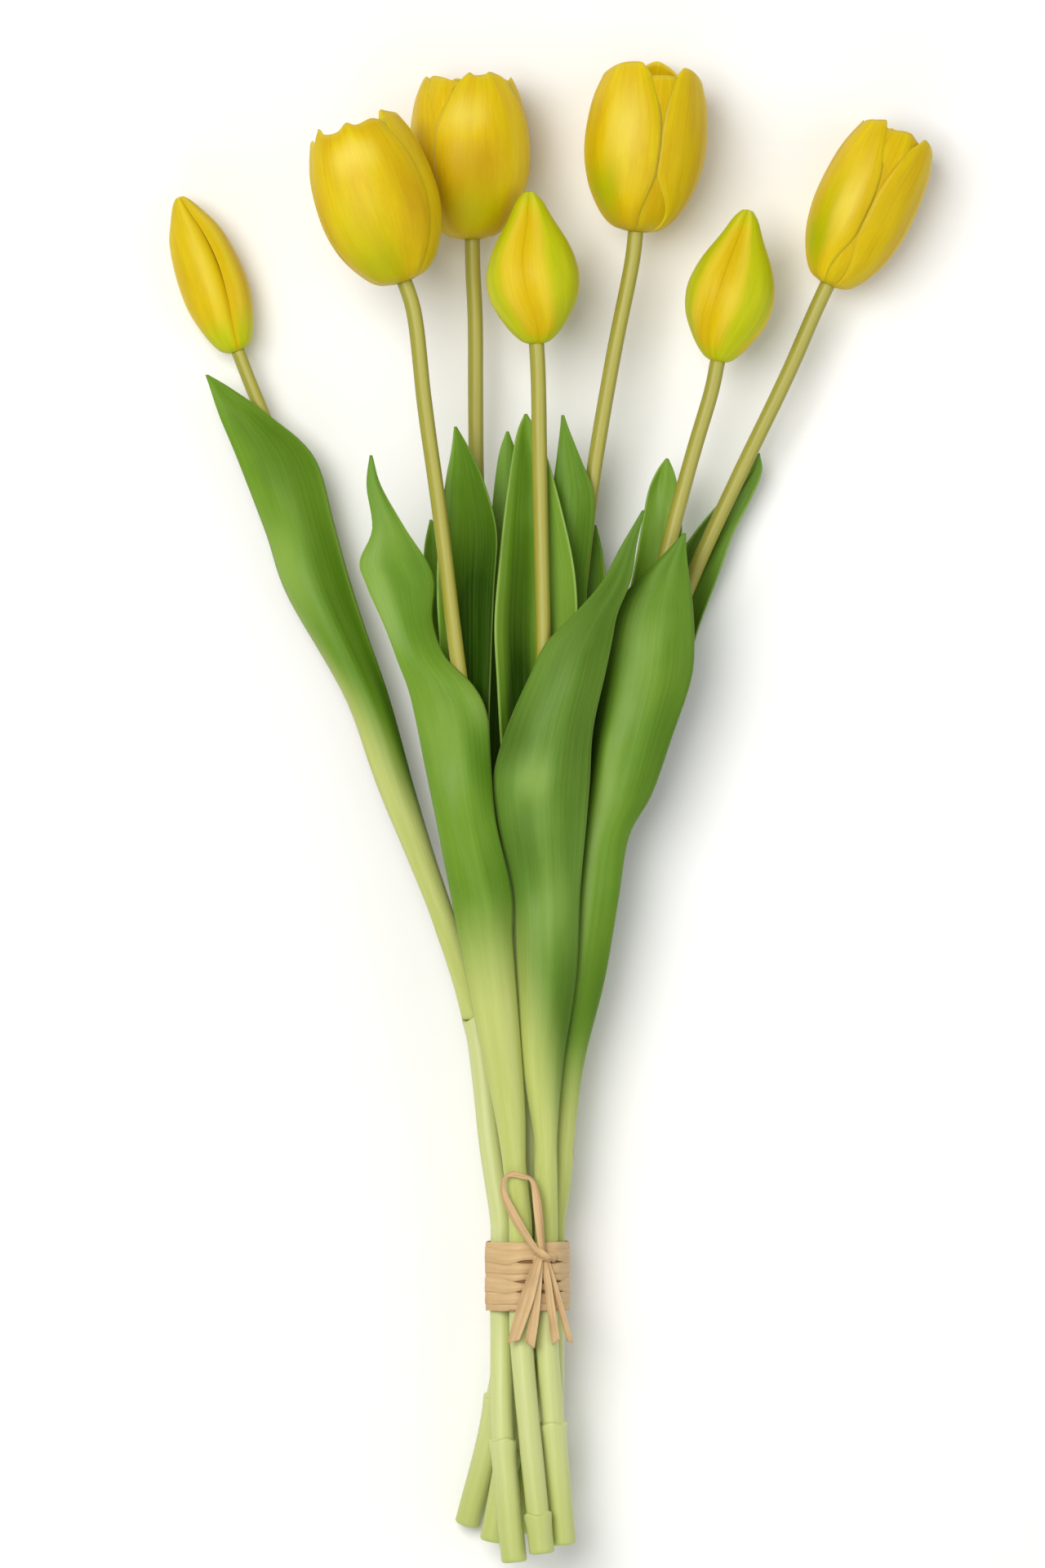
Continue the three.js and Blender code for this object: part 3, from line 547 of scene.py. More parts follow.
leafSettings = {
    "thickness": 0.95, "columns": 26, "spacing": 2.2,  # mm
    "sheathRadius": 3.35, "wrappedRadius": 3.4, "sheathSpacing": 9, "belowNode": 0.5,
    "waves": 17, "marginsApart": 1.4, "crease": 0.35, "creaseWidth": 0.1, "swell": 1.1, "swellLength": 17,
}

# Each leaf: its tulip, the side of the stem it covers, the top of its sheath and how far that wraps, the
# size of its waves, the levels between which it fades to pale and how much lower it does so on its right,
# how blue its face is, its painted highlights and painted shade as rows for patches(), and its blade as rows
# of level, left margin, right margin, height of the midrib, half wrap and tilt
leafDefaults = {"wave": 0.8, "fade": (-70, -10), "fadeTilt": 0}
leaves = {
    "leaf_far_left": {
        "tulip": "far_left", "side": 1, "sheathTop": -29, "sheathWrap": 155, "wave": 0.9,
        "fade": (-4, 44), "fadeTilt": 30, "cool": 0.1,
        "tones": [(112, 0.2, 22, 0.9, -0.3), (75, -0.65, 17, 0.5, 0.5), (52, 0.45, 38, 0.4, -0.42),
                  (28, 0.95, 20, 0.4, -0.5), (70, 1, 38, 0.1, 0.55)],
        "blade": [(-12, -45.6, -37.4, 21.6, 125, 0), (8, -54.5, -43.6, 20.6, 85, 5), (35, -64.6, -51.2, 19.2, 60, 8),
                  (66, -82.3, -62, 18, 42, 10), (86, -89, -67.5, 17.6, 38, 8), (108, -97, -73.3, 17.2, 30, 0),
                  (121, -102.3, -87, 16.8, 24, -5), (129, -105.1, -98.4, 16.6, 18, -5),
                  (133.6, -106.8, -106, 16.6, 10, 0)],
    },
    "leaf_left_front": {
        "tulip": "left", "side": 1, "sheathTop": -108, "sheathWrap": 84, "wave": 1.0,
        "fade": (-66, -20), "cool": 0.2,
        "tones": [(92, 0, 14, 1, 0.15), (66, -0.75, 14, 0.4, 0.35), (58, 0.35, 17, 0.5, -0.05),
                  (33, 0.85, 9, 0.4, 0.35), (20, -0.3, 16, 0.6, 0.28), (12, 0.75, 12, 0.4, -0.3),
                  (-22, 0.6, 16, 0.5, -0.15)],
        "blade": [(-94, -17.6, -8.8, 35.3, 84, 0), (-77, -21.2, -9.8, 37, 72, 0), (-41, -28.5, -12.5, 39.8, 50, 0),
                  (-25, -31.5, -12.9, 41, 43, 0), (-3, -35.8, -17.8, 42.6, 40, 0), (15, -39.5, -19.3, 43.4, 40, 0),
                  (29, -42.3, -20.3, 45.2, 30, 0), (38, -44.6, -24.5, 46.4, 25, 0), (47, -48, -33, 46.5, 28, -6),
                  (58, -52, -36.5, 45, 35, -15), (69, -56.8, -35.8, 45.5, 32, -10), (76, -58.9, -38.5, 46, 28, -5),
                  (86, -55.2, -45.2, 46.5, 22, 0), (99, -57, -52.6, 47, 15, 0), (108.3, -56.1, -55.3, 47.6, 10, 0)],
    },
    "leaf_left_rear": {
        "tulip": "left", "side": -1, "sheathTop": -80, "sheathWrap": 78,
        "fade": (-80, -30), "cool": 0.1,
        "tones": [(46, 0.5, 58, 0.8, -1.2), (60, -0.5, 50, 0.4, -0.25), (10, -0.4, 40, 0.6, -0.8),
                  (85, -0.95, 34, 0.25, 0.4)],
        "blade": [(-50, -22.6, -13.6, 31.2, 66, 0), (-15, -28, -17.6, 32.6, 50, 0), (20, -32.2, -19.6, 33.8, 42, 0),
                  (48, -34.5, -19, 34.8, 36, 0), (68, -35.6, -18.2, 35.2, 34, 0), (85, -34.8, -17.4, 35.6, 32, 0),
                  (100, -33, -21.2, 36.2, 28, 0), (110, -31.2, -25.6, 37, 20, 0), (117.2, -30.4, -29.6, 37.8, 10, 0)],
    },
    "leaf_back_left_front": {
        "tulip": "back_left", "side": 1, "sheathTop": -66, "sheathWrap": 84, "cool": 0.2,
        "tones": [(0, 0, 70, 2, -1), (90, -0.6, 24, 0.6, 0.4)],
        "blade": [(-45, -21.8, -12.2, 15.9, 70, 0), (-10, -24.4, -10.8, 17, 55, 0), (25, -25.5, -8.2, 18.6, 45, 0),
                  (55, -23.5, -6.6, 20.6, 40, 0), (80, -20, -7, 22.6, 34, 0), (97, -18.3, -8.6, 24, 28, 0),
                  (109, -16.6, -11.4, 25.2, 20, 0), (116, -14.5, -13.7, 26.2, 10, 0)],
    },
    "leaf_back_left_rear": {
        "tulip": "back_left", "side": -1, "sheathTop": -66, "sheathWrap": 78, "cool": 0.2,
        "tones": [(10, 0, 60, 2, -0.7)],
        "blade": [(-45, -22, -12, 8.6, 66, 0), (-10, -26.6, -12, 7.8, 52, 0), (25, -33, -14.6, 7.6, 44, 0),
                  (50, -38.2, -21, 8.2, 38, 0), (68, -39.8, -26.5, 11.6, 32, 0), (80, -39.6, -31.4, 15, 25, 0),
                  (89, -38, -37.2, 18, 10, 0)],
    },
    "leaf_middle_front": {
        "tulip": "middle", "side": 1, "sheathTop": -100, "sheathWrap": 84, "wave": 0.9,
        "fade": (-98, -42), "fadeTilt": 30, "cool": 0.7,
        "tones": [(66, 0.2, 24, 1, -0.4), (40, -0.4, 14, 0.5, 0), (28, 0.7, 34, 0.4, -0.35),
                  (22, -0.8, 12, 0.4, -0.45), (9, -0.2, 7, 0.4, 0.4), (-14, -0.5, 15, 0.4, -0.3),
                  (-32, 0, 14, 0.8, 0.3), (-58, 0.6, 24, 0.45, -0.4)],
        "blade": [(-77, -9.7, 2.8, 34.8, 70, 0), (-50, -11.7, 6.8, 36.6, 55, 0), (-25, -12.9, 8, 38, 45, 0),
                  (-3, -17.6, 10, 40, 33, 0), (9.4, -18.5, 11, 41.2, 30, 0), (25, -14.3, 12, 42, 30, 0),
                  (42, -7.3, 15.4, 42.2, 30, 8), (51, -2.8, 17.2, 42.6, 28, 12), (60, 6, 19.2, 42.6, 26, 15),
                  (70, 14.6, 23.4, 42.2, 22, 15), (81, 20.8, 25.2, 41.8, 15, 10), (91.6, 27, 27.8, 41.2, 10, 0)],
    },
    "leaf_middle_rear": {
        "tulip": "middle", "side": -1, "sheathTop": -84, "sheathWrap": 78, "wave": 0.9,
        "fade": (-80, -30), "cool": 0.1,
        "tones": [(30, -0.4, 62, 0.35, -1), (-8, 0, 34, 2, -0.9), (60, -0.95, 50, 0.25, 0.35),
                  (75, 0.6, 34, 0.5, 0.3)],
        "blade": [(-55, -8.6, 3.4, 28.2, 66, 0), (-20, -11.6, 5.2, 29.4, 56, 0), (15, -15.6, 6.4, 29.6, 60, 0),
                  (40, -17.2, 7, 29.4, 62, 0), (57, -17.9, 7.3, 29.3, 62, 0), (74, -16.7, 6.2, 29.4, 58, 0),
                  (92, -14.8, 2.4, 29.4, 48, 0), (108, -12.6, -2, 29.6, 32, 0), (116, -11, -5.2, 29.9, 20, 0),
                  (121.3, -8.9, -8.1, 30.2, 10, 0)],
    },
    "leaf_back_right_front": {
        "tulip": "back_right", "side": 1, "sheathTop": -66, "sheathWrap": 84, "cool": 0.3,
        "tones": [(0, 0, 60, 2, -0.7), (80, 0.5, 30, 0.4, -0.25)],
        "blade": [(-45, -8.8, 1.4, 25, 72, 0), (-10, -7.4, 6, 25.3, 55, 0), (25, -5.8, 9.6, 26, 42, 0),
                  (50, -4.4, 10, 26.6, 34, 0), (70, -3.2, 10.3, 27, 28, 0), (85, -1.8, 12, 27.2, 25, 0),
                  (97, -0.4, 12.3, 27.3, 22, 0), (107, 0.9, 8.6, 27.4, 18, 0), (115, 1.8, 5.4, 27.6, 14, 0),
                  (121, 2.4, 3.2, 27.8, 10, 0)],
    },
    "leaf_back_right_rear": {
        "tulip": "back_right", "side": -1, "sheathTop": -66, "sheathWrap": 78, "cool": 0.3,
        "tones": [(0, 0, 70, 2, -0.6)],
        "blade": [(-45, -7.8, 2, 17.2, 68, 0), (-10, -6, 7, 16.8, 54, 0), (25, -3, 12.4, 16.6, 44, 0),
                  (50, 0, 15.7, 16.6, 38, 0), (68, 3.5, 16, 17, 32, 0), (79, 8, 15.1, 17.4, 24, 0),
                  (87.5, 12.4, 13.2, 18, 10, 0)],
    },
    "leaf_right_front": {
        "tulip": "right", "side": 1, "sheathTop": -100, "sheathWrap": 84, "wave": 1.1,
        "fade": (-104, -64), "cool": 0.3,
        "tones": [(76, 0, 16, 1, -0.15), (40, -0.15, 22, 0.4, 0.15), (2, -0.5, 24, 0.35, 0.35),
                  (-34, -0.5, 24, 0.4, 0.3), (14, -1, 60, 0.35, -1.1), (28, 0.75, 30, 0.4, -0.3),
                  (-52, 0.4, 22, 0.6, -0.35)],
        "blade": [(-77, 0.3, 9.3, 26, 75, 0), (-52, 3.2, 15.5, 27.6, 60, 0), (-27, 6.4, 19.8, 29, 50, 0),
                  (-8, 8.6, 23, 30.2, 45, 0), (5, 9.7, 30, 31, 40, 0), (22, 12, 36, 32, 36, 0),
                  (40, 14.5, 42, 32.8, 34, 0), (52, 16.5, 43, 33.2, 32, 0), (63, 19.8, 42.5, 33.4, 30, 0),
                  (71, 26, 41.5, 33.6, 26, 0), (79, 34.2, 40.6, 33.6, 18, 0), (84.8, 39.7, 40.5, 33.6, 10, 0)],
    },
    "leaf_right_rear": {
        "tulip": "right", "side": -1, "sheathTop": -84, "sheathWrap": 78,
        "fade": (-90, -40), "cool": 0.1,
        "tones": [(10, 0, 50, 2, -0.6), (88, 0, 18, 1, 0.2)],
        "blade": [(-55, 2.8, 12, 20, 66, 0), (-20, 7.4, 19.4, 21.2, 52, 0), (15, 13, 28, 22.2, 44, 0),
                  (45, 18.8, 36, 22.6, 40, 0), (70, 24, 38.6, 22.8, 36, 0), (88, 27.2, 39.3, 22, 28, 0),
                  (98, 29.2, 38.2, 22, 22, 0), (104, 31.8, 36.8, 22.3, 16, 0), (107.8, 34.4, 35.2, 22.8, 10, 0)],
    },
    "leaf_far_right": {
        "tulip": "far_right", "side": -1, "sheathTop": -58, "sheathWrap": 152,
        "fade": (-70, -20), "cool": 0.6,
        "tones": [(0, 0, 40, 2, -0.4), (80, -0.4, 22, 0.5, 0.2)],
        "blade": [(-40, 3, 11.6, 5.4, 120, 0), (-18, 6.8, 19, 4.8, 82, 0), (10, 11.6, 29.6, 4.6, 60, 0),
                  (35, 18.2, 38.6, 4.8, 50, 0), (55, 26.4, 44.2, 5.6, 48, 0), (72, 34.6, 50.6, 6.6, 45, 0),
                  (85, 43.2, 55.2, 6.8, 40, 0), (96, 52.4, 60.8, 7.6, 30, 0), (104, 59.6, 64, 8.8, 20, 0),
                  (109.6, 62.6, 63.4, 10.6, 10, 0)],
    },
}


def leafRows(form):
    bottom, top = tulips[form["tulip"]]["node"] - leafSettings["belowNode"], form["sheathTop"]
    curve = stemPaths[form["tulip"]]
    radius = leafSettings["wrappedRadius" if form["sheathWrap"] > 90 else "sheathRadius"]
    count = math.ceil((top - bottom) / leafSettings["sheathSpacing"])
    sheath = []
    for i in range(count + 1):
        y = bottom + (top - bottom) * i / count
        spot, _ = spotAtLevel(curve, y)
        height = spot.z + form["side"] * radius
        sheath.append((y, spot.x - radius, spot.x + radius, height, form["sheathWrap"], 0))
    return sheath + form["blade"]


def addLeaf(name, leaf):
    form = {**leafDefaults, **leaf}
    rows = leafRows(form)
    at = pathThrough(rows)
    bladeStart = 1 - len(form["blade"]) / len(rows)
    bottom, top = rows[0][0], rows[-1][0]
    width = max(right - left for _, left, right, *_ in rows)
    seed = form["blade"][0][1]

    def place(u, v):
        y, left, right, height, wrap, tilt = at(v)
        lean = math.radians(tilt)
        halfWrap = math.radians(max(wrap, 2))
        radius = (right - left) / 2 / math.sin(min(halfWrap, math.pi / 2)) / math.cos(lean)
        across = radius * math.sin(u * halfWrap)
        waves = math.sin(v * leafSettings["waves"] + (leafSettings["marginsApart"] if u < 0 else 0))
        waves *= max(0, v - bladeStart) * (1 - v) * 4
        back = form["wave"] * waves * u * u - form["side"] * radius * (1 - math.cos(u * halfWrap))
        crease = leafSettings["crease"] * math.exp(-(u / leafSettings["creaseWidth"]) ** 2)
        crease *= smooth(bladeStart, bladeStart + 0.15, v) * (1 - v)
        swell = leafSettings["swell"] * noise.noise(Vector((u * 1.3, y / leafSettings["swellLength"], seed)))
        swell *= smooth(bladeStart, bladeStart + 0.2, v) * smooth(1, 0.9, v)
        back += swell - form["side"] * crease
        return Vector(((left + right) / 2 + across * math.cos(lean) - back * math.sin(lean), y,
                       height + across * math.sin(lean) + back * math.cos(lean)))

    def values(u, v):
        y = at(v)[0]
        green = smooth(*form["fade"], y + form["fadeTilt"] * u)
        # the painted light and shade of this leaf, from its patches
        return {"green": green, "cool": form["cool"], "tone": patches(form["tones"], y, u)}

    count = round((top - bottom) / leafSettings["spacing"])
    span = (width / 10, (top - bottom) / 10)
    piece = gridPiece(f"{name}_blade", leafSettings["columns"], count, place, span, values)
    thicken(piece, leafSettings["thickness"], lambda u, v: 1 - u ** 4)
    dress(piece, name, leafMaterial)


leafLook = {
    "shader": {"Roughness": 0.42, "Subsurface Weight": 0.08, "Subsurface Scale": 0.0012,
               "Subsurface Radius": (0.6, 1, 0.3)},
    "fineStreaks": (13, 0.2), "broadStreaks": (1.1, 0.14), "bump": (0.12, 0.0004),
    "green": [(86, 130, 16), (102, 145, 30)], "mottle": (0.4, (126, 163, 42)), "mottleSize": 30,
    "blue": [(88, 124, 44), (104, 138, 58)], "blueShare": 0.9, "pale": [(180, 190, 100), (197, 204, 126)],
    # The next two colours are painted shade and painted highlight, laid on by each leaf's patches
    "deep": (-1, (28, 60, 0)), "light": (1, (156, 186, 84)),
    # Fine veins and a margin line get the lines colour; the margin line is partly the leaf's paler edge, partly
    # painted highlight
    "lines": (1, (170, 194, 108)), "fineLines": 0.07, "margin": (0.475, 0.5, 0, 0.25),
    # the gloss follows the painted light and shade: low specular in painted shade, higher in painted highlight
    "gloss": (-0.6, 0.5, 0, 0.28),  # from one tone to another, and the specular levels there
}


def paintLeaf(tree, look, fine, broad):
    across, _ = sharePlace(tree)
    # painted light and shade: below zero it darkens the face as painted shade, above zero it lightens it as painted
    # highlight
    tone = attribute(tree, "tone")
    green, blue, pale = (twoTone(tree, broad, look[name]) for name in ("green", "blue", "pale"))
    green = tinted(tree, green, mottleMask(tree, look["mottleSize"]), look["mottle"])
    face = mixed(tree, sums(tree, "MULTIPLY", attribute(tree, "cool"), look["blueShare"]), green, blue)
    # a margin line, partly the leaf's own paler edge and partly painted highlight where the edge catches the light
    margin = ramp(tree, distanceFrom(tree, across), *look["margin"])
    lines = sums(tree, "ADD", sums(tree, "MULTIPLY", fine, look["fineLines"]), margin)
    for mask, layer in ((tone, "deep"), (tone, "light"), (lines, "lines")):
        face = tinted(tree, face, mask, look[layer])
    return mixed(tree, attribute(tree, "green"), pale, face)


def varyGloss(material, look):
    tree = material.node_tree
    gloss = ramp(tree, attribute(tree, "tone"), *look["gloss"])
    tree.links.new(gloss, tree.nodes["Principled BSDF"].inputs["Specular IOR Level"])


leafMaterial = streakedMaterial("tulip leaf", leafLook, paintLeaf)
varyGloss(leafMaterial, leafLook)
for leafName, leafForm in leaves.items():
    addLeaf(leafName, leafForm)
print("leaves made")

# Flowers

petalSettings = {
    "thickness": 0.7, "columns": 36, "rows": 46, "layerStep": 0.7, "wallAllowance": 1.6,  # mm
    "rowPower": 1.3, "corner": 0.035, "flutes": 0.4, "ridge": 0.14, "ridgeWidth": 0.09,
    "sideCurl": 0.7, "tipCurl": 0.35, "marginRoll": 0.45,
}

# Outlines of a flower from its base to its tip, as share of the width and share of the length
bloomOutline = [(0.16, 0), (0.42, 0.025), (0.64, 0.1), (0.85, 0.23), (0.97, 0.38), (1, 0.52), (0.97, 0.68),
                (0.9, 0.83), (0.81, 0.94), (0.72, 1)]
budOutline = [(0.17, 0), (0.36, 0.03), (0.63, 0.12), (0.91, 0.27), (1, 0.41), (0.95, 0.53), (0.79, 0.66),
              (0.49, 0.82), (0.28, 0.94), (0.1, 1)]
slimBudOutline = [(0.24, 0), (0.5, 0.04), (0.74, 0.14), (0.95, 0.3), (1, 0.44), (0.95, 0.6), (0.78, 0.76),
                  (0.5, 0.88), (0.28, 0.96), (0.1, 1)]

# Rims, as share of the petal's height from its left margin at -1 to its right one at 1
plainRim = [(-1, 0.88), (-0.6, 0.965), (0, 1), (0.6, 0.965), (1, 0.88)]
wavyRim = [(-1, 0.89), (-0.7, 0.95), (-0.35, 0.985), (-0.05, 1), (0.2, 0.975), (0.5, 0.985), (0.8, 0.94),
           (1, 0.88)]

# Each petal: its place round the bloom and the angles that it covers to its left and right, in degrees,
# its height as share of the bloom's, the share of those angles at its foot, how much narrower its tip is,
# how far it leans out, its rim, how far its left and right margins stand out in mm, its green patches, and
# its tones as patches of painted sheen (above zero) and painted shade (below zero)
petalDefaults = {"foot": 0.55, "narrow": 0.5, "lean": 0, "rim": plainRim, "lift": (0, 0), "inner": False,
                 "green": [(0, 0, 0.16, 0.7, 0.2)], "tones": [(0.4, 0, 0.5, 1.5, -0.2)]}
innerDefaults = {"reach": (56, 56), "inner": True, "foot": 1, "narrow": 0.35, "rim": wavyRim,
                 "tones": [(0.8, 0, 0.5, 2, -0.12)]}
blooms = {
    "left": {"width": 38.6, "petals": {
        "front": {"turn": -9, "reach": (66, 66), "tall": 1.015, "foot": 0.8, "narrow": 0.2, "lift": (0.3, 0.3),
                  "rim": [(-1, 0.93), (-0.87, 1), (-0.55, 0.955), (-0.21, 0.944), (0.04, 0.98), (0.25, 0.95),
                          (0.7, 0.956), (1, 0.88)],
                  "green": [(0.12, -0.25, 0.15, 0.6, 0.6), (0.36, -0.25, 0.2, 0.5, 0.25)],
                  "tones": [(0.82, 0, 0.1, 0.4, 0.6), (0.5, -0.2, 0.22, 0.25, 0.2), (1, 0, 0.08, 1.2, -0.35),
                            (0.45, 0.65, 0.32, 0.3, -0.45), (0.4, -0.85, 0.4, 0.2, -0.3)]},
        "right": {"turn": 98, "reach": (74, 60), "tall": 1.01, "narrow": 0.25, "foot": 0.7, "lift": (-0.35, 0.1),
                  "rim": [(-1, 0.97), (-0.88, 1), (-0.45, 0.96), (0, 0.93), (0.5, 0.92), (1, 0.85)]},
        "rear": {"turn": -137, "reach": (56, 64), "tall": 0.96, "narrow": 0.3, "foot": 0.8, "lift": (0, -0.35)},
        "inner_right": {**innerDefaults, "turn": 49, "tall": 0.95},
        "inner_rear": {**innerDefaults, "turn": 171, "tall": 0.97},
        "inner_left": {**innerDefaults, "turn": -71, "tall": 0.96},
    }},
    "back_left": {"width": 38.2, "petals": {
        "front": {"turn": 22, "reach": (60, 58), "tall": 1.0, "foot": 1.2, "lift": (0.25, 0.2),
                  "rim": [(-1, 0.945), (-0.7, 0.997), (-0.42, 0.98), (0, 0.985), (0.25, 1), (0.6, 0.985), (1, 0.94)],
                  "green": [(0.16, -0.2, 0.17, 0.55, 0.5)],
                  "tones": [(0.75, -0.45, 0.11, 0.4, 0.55), (0.48, -0.3, 0.16, 0.5, -0.45),
                            (0.2, -0.5, 0.22, 0.6, -0.6), (0.5, 0.75, 0.4, 0.4, 0.3)]},
        "rear": {"turn": 140, "reach": (64, 58), "tall": 0.98, "lift": (-0.35, 0), "rim": wavyRim},
        "left": {"turn": -92, "reach": (58, 60), "tall": 0.985, "narrow": 0.42, "foot": 1, "lift": (0, -0.3),
                 "rim": [(-1, 0.86), (-0.4, 0.95), (0.2, 0.99), (0.45, 1), (0.75, 0.98), (1, 0.93)]},
        "inner_right": {**innerDefaults, "turn": 82, "tall": 0.97},
        "inner_rear": {**innerDefaults, "turn": 200, "tall": 0.98},
        "inner_left": {**innerDefaults, "turn": -42, "tall": 0.985, "narrow": 0.3,
                       "rim": [(-1, 0.9), (-0.75, 0.97), (-0.5, 1), (0.1, 0.99), (0.5, 0.965), (1, 0.93)]},
    }},
    "back_right": {"width": 38, "petals": {
        "front": {"turn": -50, "reach": (62, 65), "tall": 1.0, "foot": 0.78, "narrow": 0.42, "lift": (0, 0.1),
                  "rim": [(-1, 0.78), (-0.6, 0.86), (-0.25, 0.91), (0.15, 0.945), (0.55, 0.96), (0.85, 0.957),
                          (1, 0.92)],
                  "green": [(0.22, 0, 0.17, 0.42, 0.75)],
                  "tones": [(0.62, 0.4, 0.22, 0.27, 0.6), (0.3, 0.5, 0.16, 0.5, 0.15), (0.5, -0.15, 0.4, 0.25, -0.2),
                            (0.05, 0.3, 0.1, 1, -0.4)]},
        "right": {"turn": 71, "reach": (56, 60), "tall": 1.0, "foot": 0.3, "narrow": 0.42, "lift": (0.1, 0),
                  "rim": [(-1, 0.93), (-0.8, 0.953), (-0.5, 0.95), (-0.1, 0.92), (0.4, 0.86), (1, 0.78)]},
        "rear": {"turn": 172, "reach": (52, 52), "tall": 0.994,
                 "rim": [(-1, 0.86), (-0.6, 0.95), (-0.2, 0.99), (0.2, 1), (0.6, 0.97), (1, 0.88)]},
        "inner_front": {**innerDefaults, "turn": 16, "tall": 0.9, "narrow": 0.2,
                        "tones": [(0.5, 0, 0.6, 2, -0.35)],
                        "rim": [(-1, 0.96), (-0.4, 0.985), (0.1, 1), (0.6, 0.985), (1, 0.95)]},
        "inner_rear": {**innerDefaults, "turn": 128, "tall": 0.9, "rim": plainRim},
        "inner_left": {**innerDefaults, "turn": -112, "tall": 0.9, "rim": plainRim},
    }},
    "far_right": {"width": 31.6, "petals": {
        "front": {"turn": -48, "reach": (60, 55), "tall": 1.0, "foot": 0.62, "narrow": 0.56, "lift": (0, 0.15),
                  "rim": [(-1, 0.86), (-0.6, 0.93), (-0.1, 0.965), (0.3, 0.98), (0.6, 0.99), (0.85, 0.995),
                          (1, 0.96)],
                  "green": [(0.19, 0, 0.18, 0.45, 0.75), (0.45, 0.1, 0.2, 0.22, 0.3)],
                  "tones": [(0.47, 0.5, 0.23, 0.25, 0.55), (0.7, 0, 0.2, 0.3, 0.1), (0.5, -0.5, 0.5, 0.3, -0.2)]},
        "right": {"turn": 73, "reach": (65, 58), "tall": 1.0, "foot": 0.72, "narrow": 0.5, "lean": 0.06,
                  "lift": (0.1, 0), "rim": [(-1, 0.94), (-0.75, 0.985), (-0.4, 0.975), (0, 0.95), (1, 0.87)]},
        "rear": {"turn": -168, "reach": (60, 58), "tall": 0.98, "rim": wavyRim},
        "inner_front": {**innerDefaults, "turn": 12, "tall": 1.0, "narrow": 0.3,
                        "rim": [(-1, 0.955), (-0.5, 0.962), (-0.1, 0.98), (0.25, 0.985), (0.55, 0.965), (1, 0.93)]},
        "inner_rear": {**innerDefaults, "turn": 132, "tall": 0.96},
        "inner_left": {**innerDefaults, "turn": -108, "tall": 0.96},
    }},
}

# Each bud: the line of the groove that faces up, as level and degrees round the bud, how much green runs
# along the middle of its petals, and how far up the green at its foot reaches
buds = {
    "far_left": {"width": 21.3, "outline": slimBudOutline, "green": 0.04, "foot": 0.13,
                 "groove": [(0, 4), (0.29, 18), (0.55, 25), (0.8, 22), (1, 10)]},
    "middle": {"width": 29, "outline": budOutline, "green": 1, "foot": 0.04,
               "groove": [(0, 12), (0.15, 2), (0.35, -10), (0.6, -13), (0.85, -6), (1, 0)]},
    "right": {"width": 27.6, "outline": budOutline, "green": 1, "foot": 0.06,
              "groove": [(0, -36), (0.12, -33), (0.43, -18), (0.79, -12), (1, -5)]},
}


def flowerPlace(tulip):  # a flower's own frame: x to its right, y along its axis, z to the side that faces up
    axis = flowerAxis(tulip)
    right = axis.cross(up).normalized()
    facing = right.cross(axis)
    frameMatrix = Matrix((right, axis, facing)).transposed().to_4x4()
    frameMatrix.translation = Vector(tulip["base"])
    return frameMatrix


def flowerLength(tulip):
    return (Vector(tulip["tip"]) - Vector(tulip["base"])).length


def curveOver(rows, steps=120, lastStep=1):  # a smooth curve of value over place, from rows of place and value
    at = pathThrough(rows)
    pairs = [at(i / steps) for i in range(steps + 1)]
    places = [place for place, _ in pairs]

    def value(place):
        index = min(max(bisect.bisect_left(places, place), 1), steps)
        (low, before), (high, after) = pairs[index - 1], pairs[index]
        return before + (after - before) * min(max((place - low) / max(high - low, 1e-6), 0), lastStep)
    return value


# The width over the level, which runs on for half a step above the top
bloomShare = curveOver([(level, share) for share, level in bloomOutline], 240, 1.5)


def addPetal(bloomName, petalName, bloom, petal, seed):
    form = {**petalDefaults, **petal}
    tulip = tulips[bloomName]
    matrix = flowerPlace(tulip)
    length = flowerLength(tulip)
    thickness, rowPower = petalSettings["thickness"], petalSettings["rowPower"]
    width = bloom["width"] - petalSettings["wallAllowance"]
    inset = petalSettings["layerStep"] if form["inner"] else 0
    rim = curveOver(form["rim"])

    def place(u, v):
        side = 0 if u < 0 else 1
        corner = 1 - petalSettings["corner"] * smooth(0.82, 1, abs(u))
        level = v ** rowPower * rim(u) * corner * form["tall"]
        narrower = form["narrow"] * max(0, (level - 0.5) / 0.5) ** 2.2
        spread = (form["foot"] + (1 - form["foot"]) * smooth(0, 0.35, level)) * (1 - narrower)
        angle = math.radians(form["turn"] + u * form["reach"][side] * spread)
        flutes = petalSettings["flutes"] * noise.noise(Vector((u * 3.2 + seed, level * 1.1, seed)))
        flutes *= smooth(0.1, 0.55, level)
        ridge = petalSettings["ridge"] * math.exp(-(u / petalSettings["ridgeWidth"]) ** 2)
        ridge *= smooth(0.95, 0.6, level)
        lift = form["lift"][side] * smooth(0.35, 1, abs(u))
        curl = petalSettings["sideCurl"] * smooth(0.8, 1, v) * u ** 2
        curl += petalSettings["tipCurl"] * smooth(0.9, 1, v)
        roll = petalSettings["marginRoll"] * smooth(0.8, 1, abs(u)) ** 2
        radius = max(0.6, width / 2 * (bloomShare(level) + form["lean"] * level) - inset)
        radius += (flutes + ridge + lift - curl - roll) * smooth(0, 0.12, level)
        spot = matrix @ Vector((radius * math.sin(angle), length * level, radius * math.cos(angle)))
        return spot.x, spot.y, max(spot.z, thickness / 2)

    def values(u, v):
        # green patches, and the tones as painted sheen above zero and painted shade below it
        return {name: patches(form[name], v ** rowPower, u) for name in ("green", "tones")}

    columns, rows, span = petalSettings["columns"], petalSettings["rows"], (width * 0.1, length * 0.11)
    piece = gridPiece(f"bloom_{bloomName}_petal_{petalName}", columns, rows, place, span, values)
    thicken(piece, thickness, lambda u, v: (1 - u ** 6) * (1 - smooth(0.85, 1, v)))
    dress(piece, f"bloom_{bloomName}", petalMaterial)


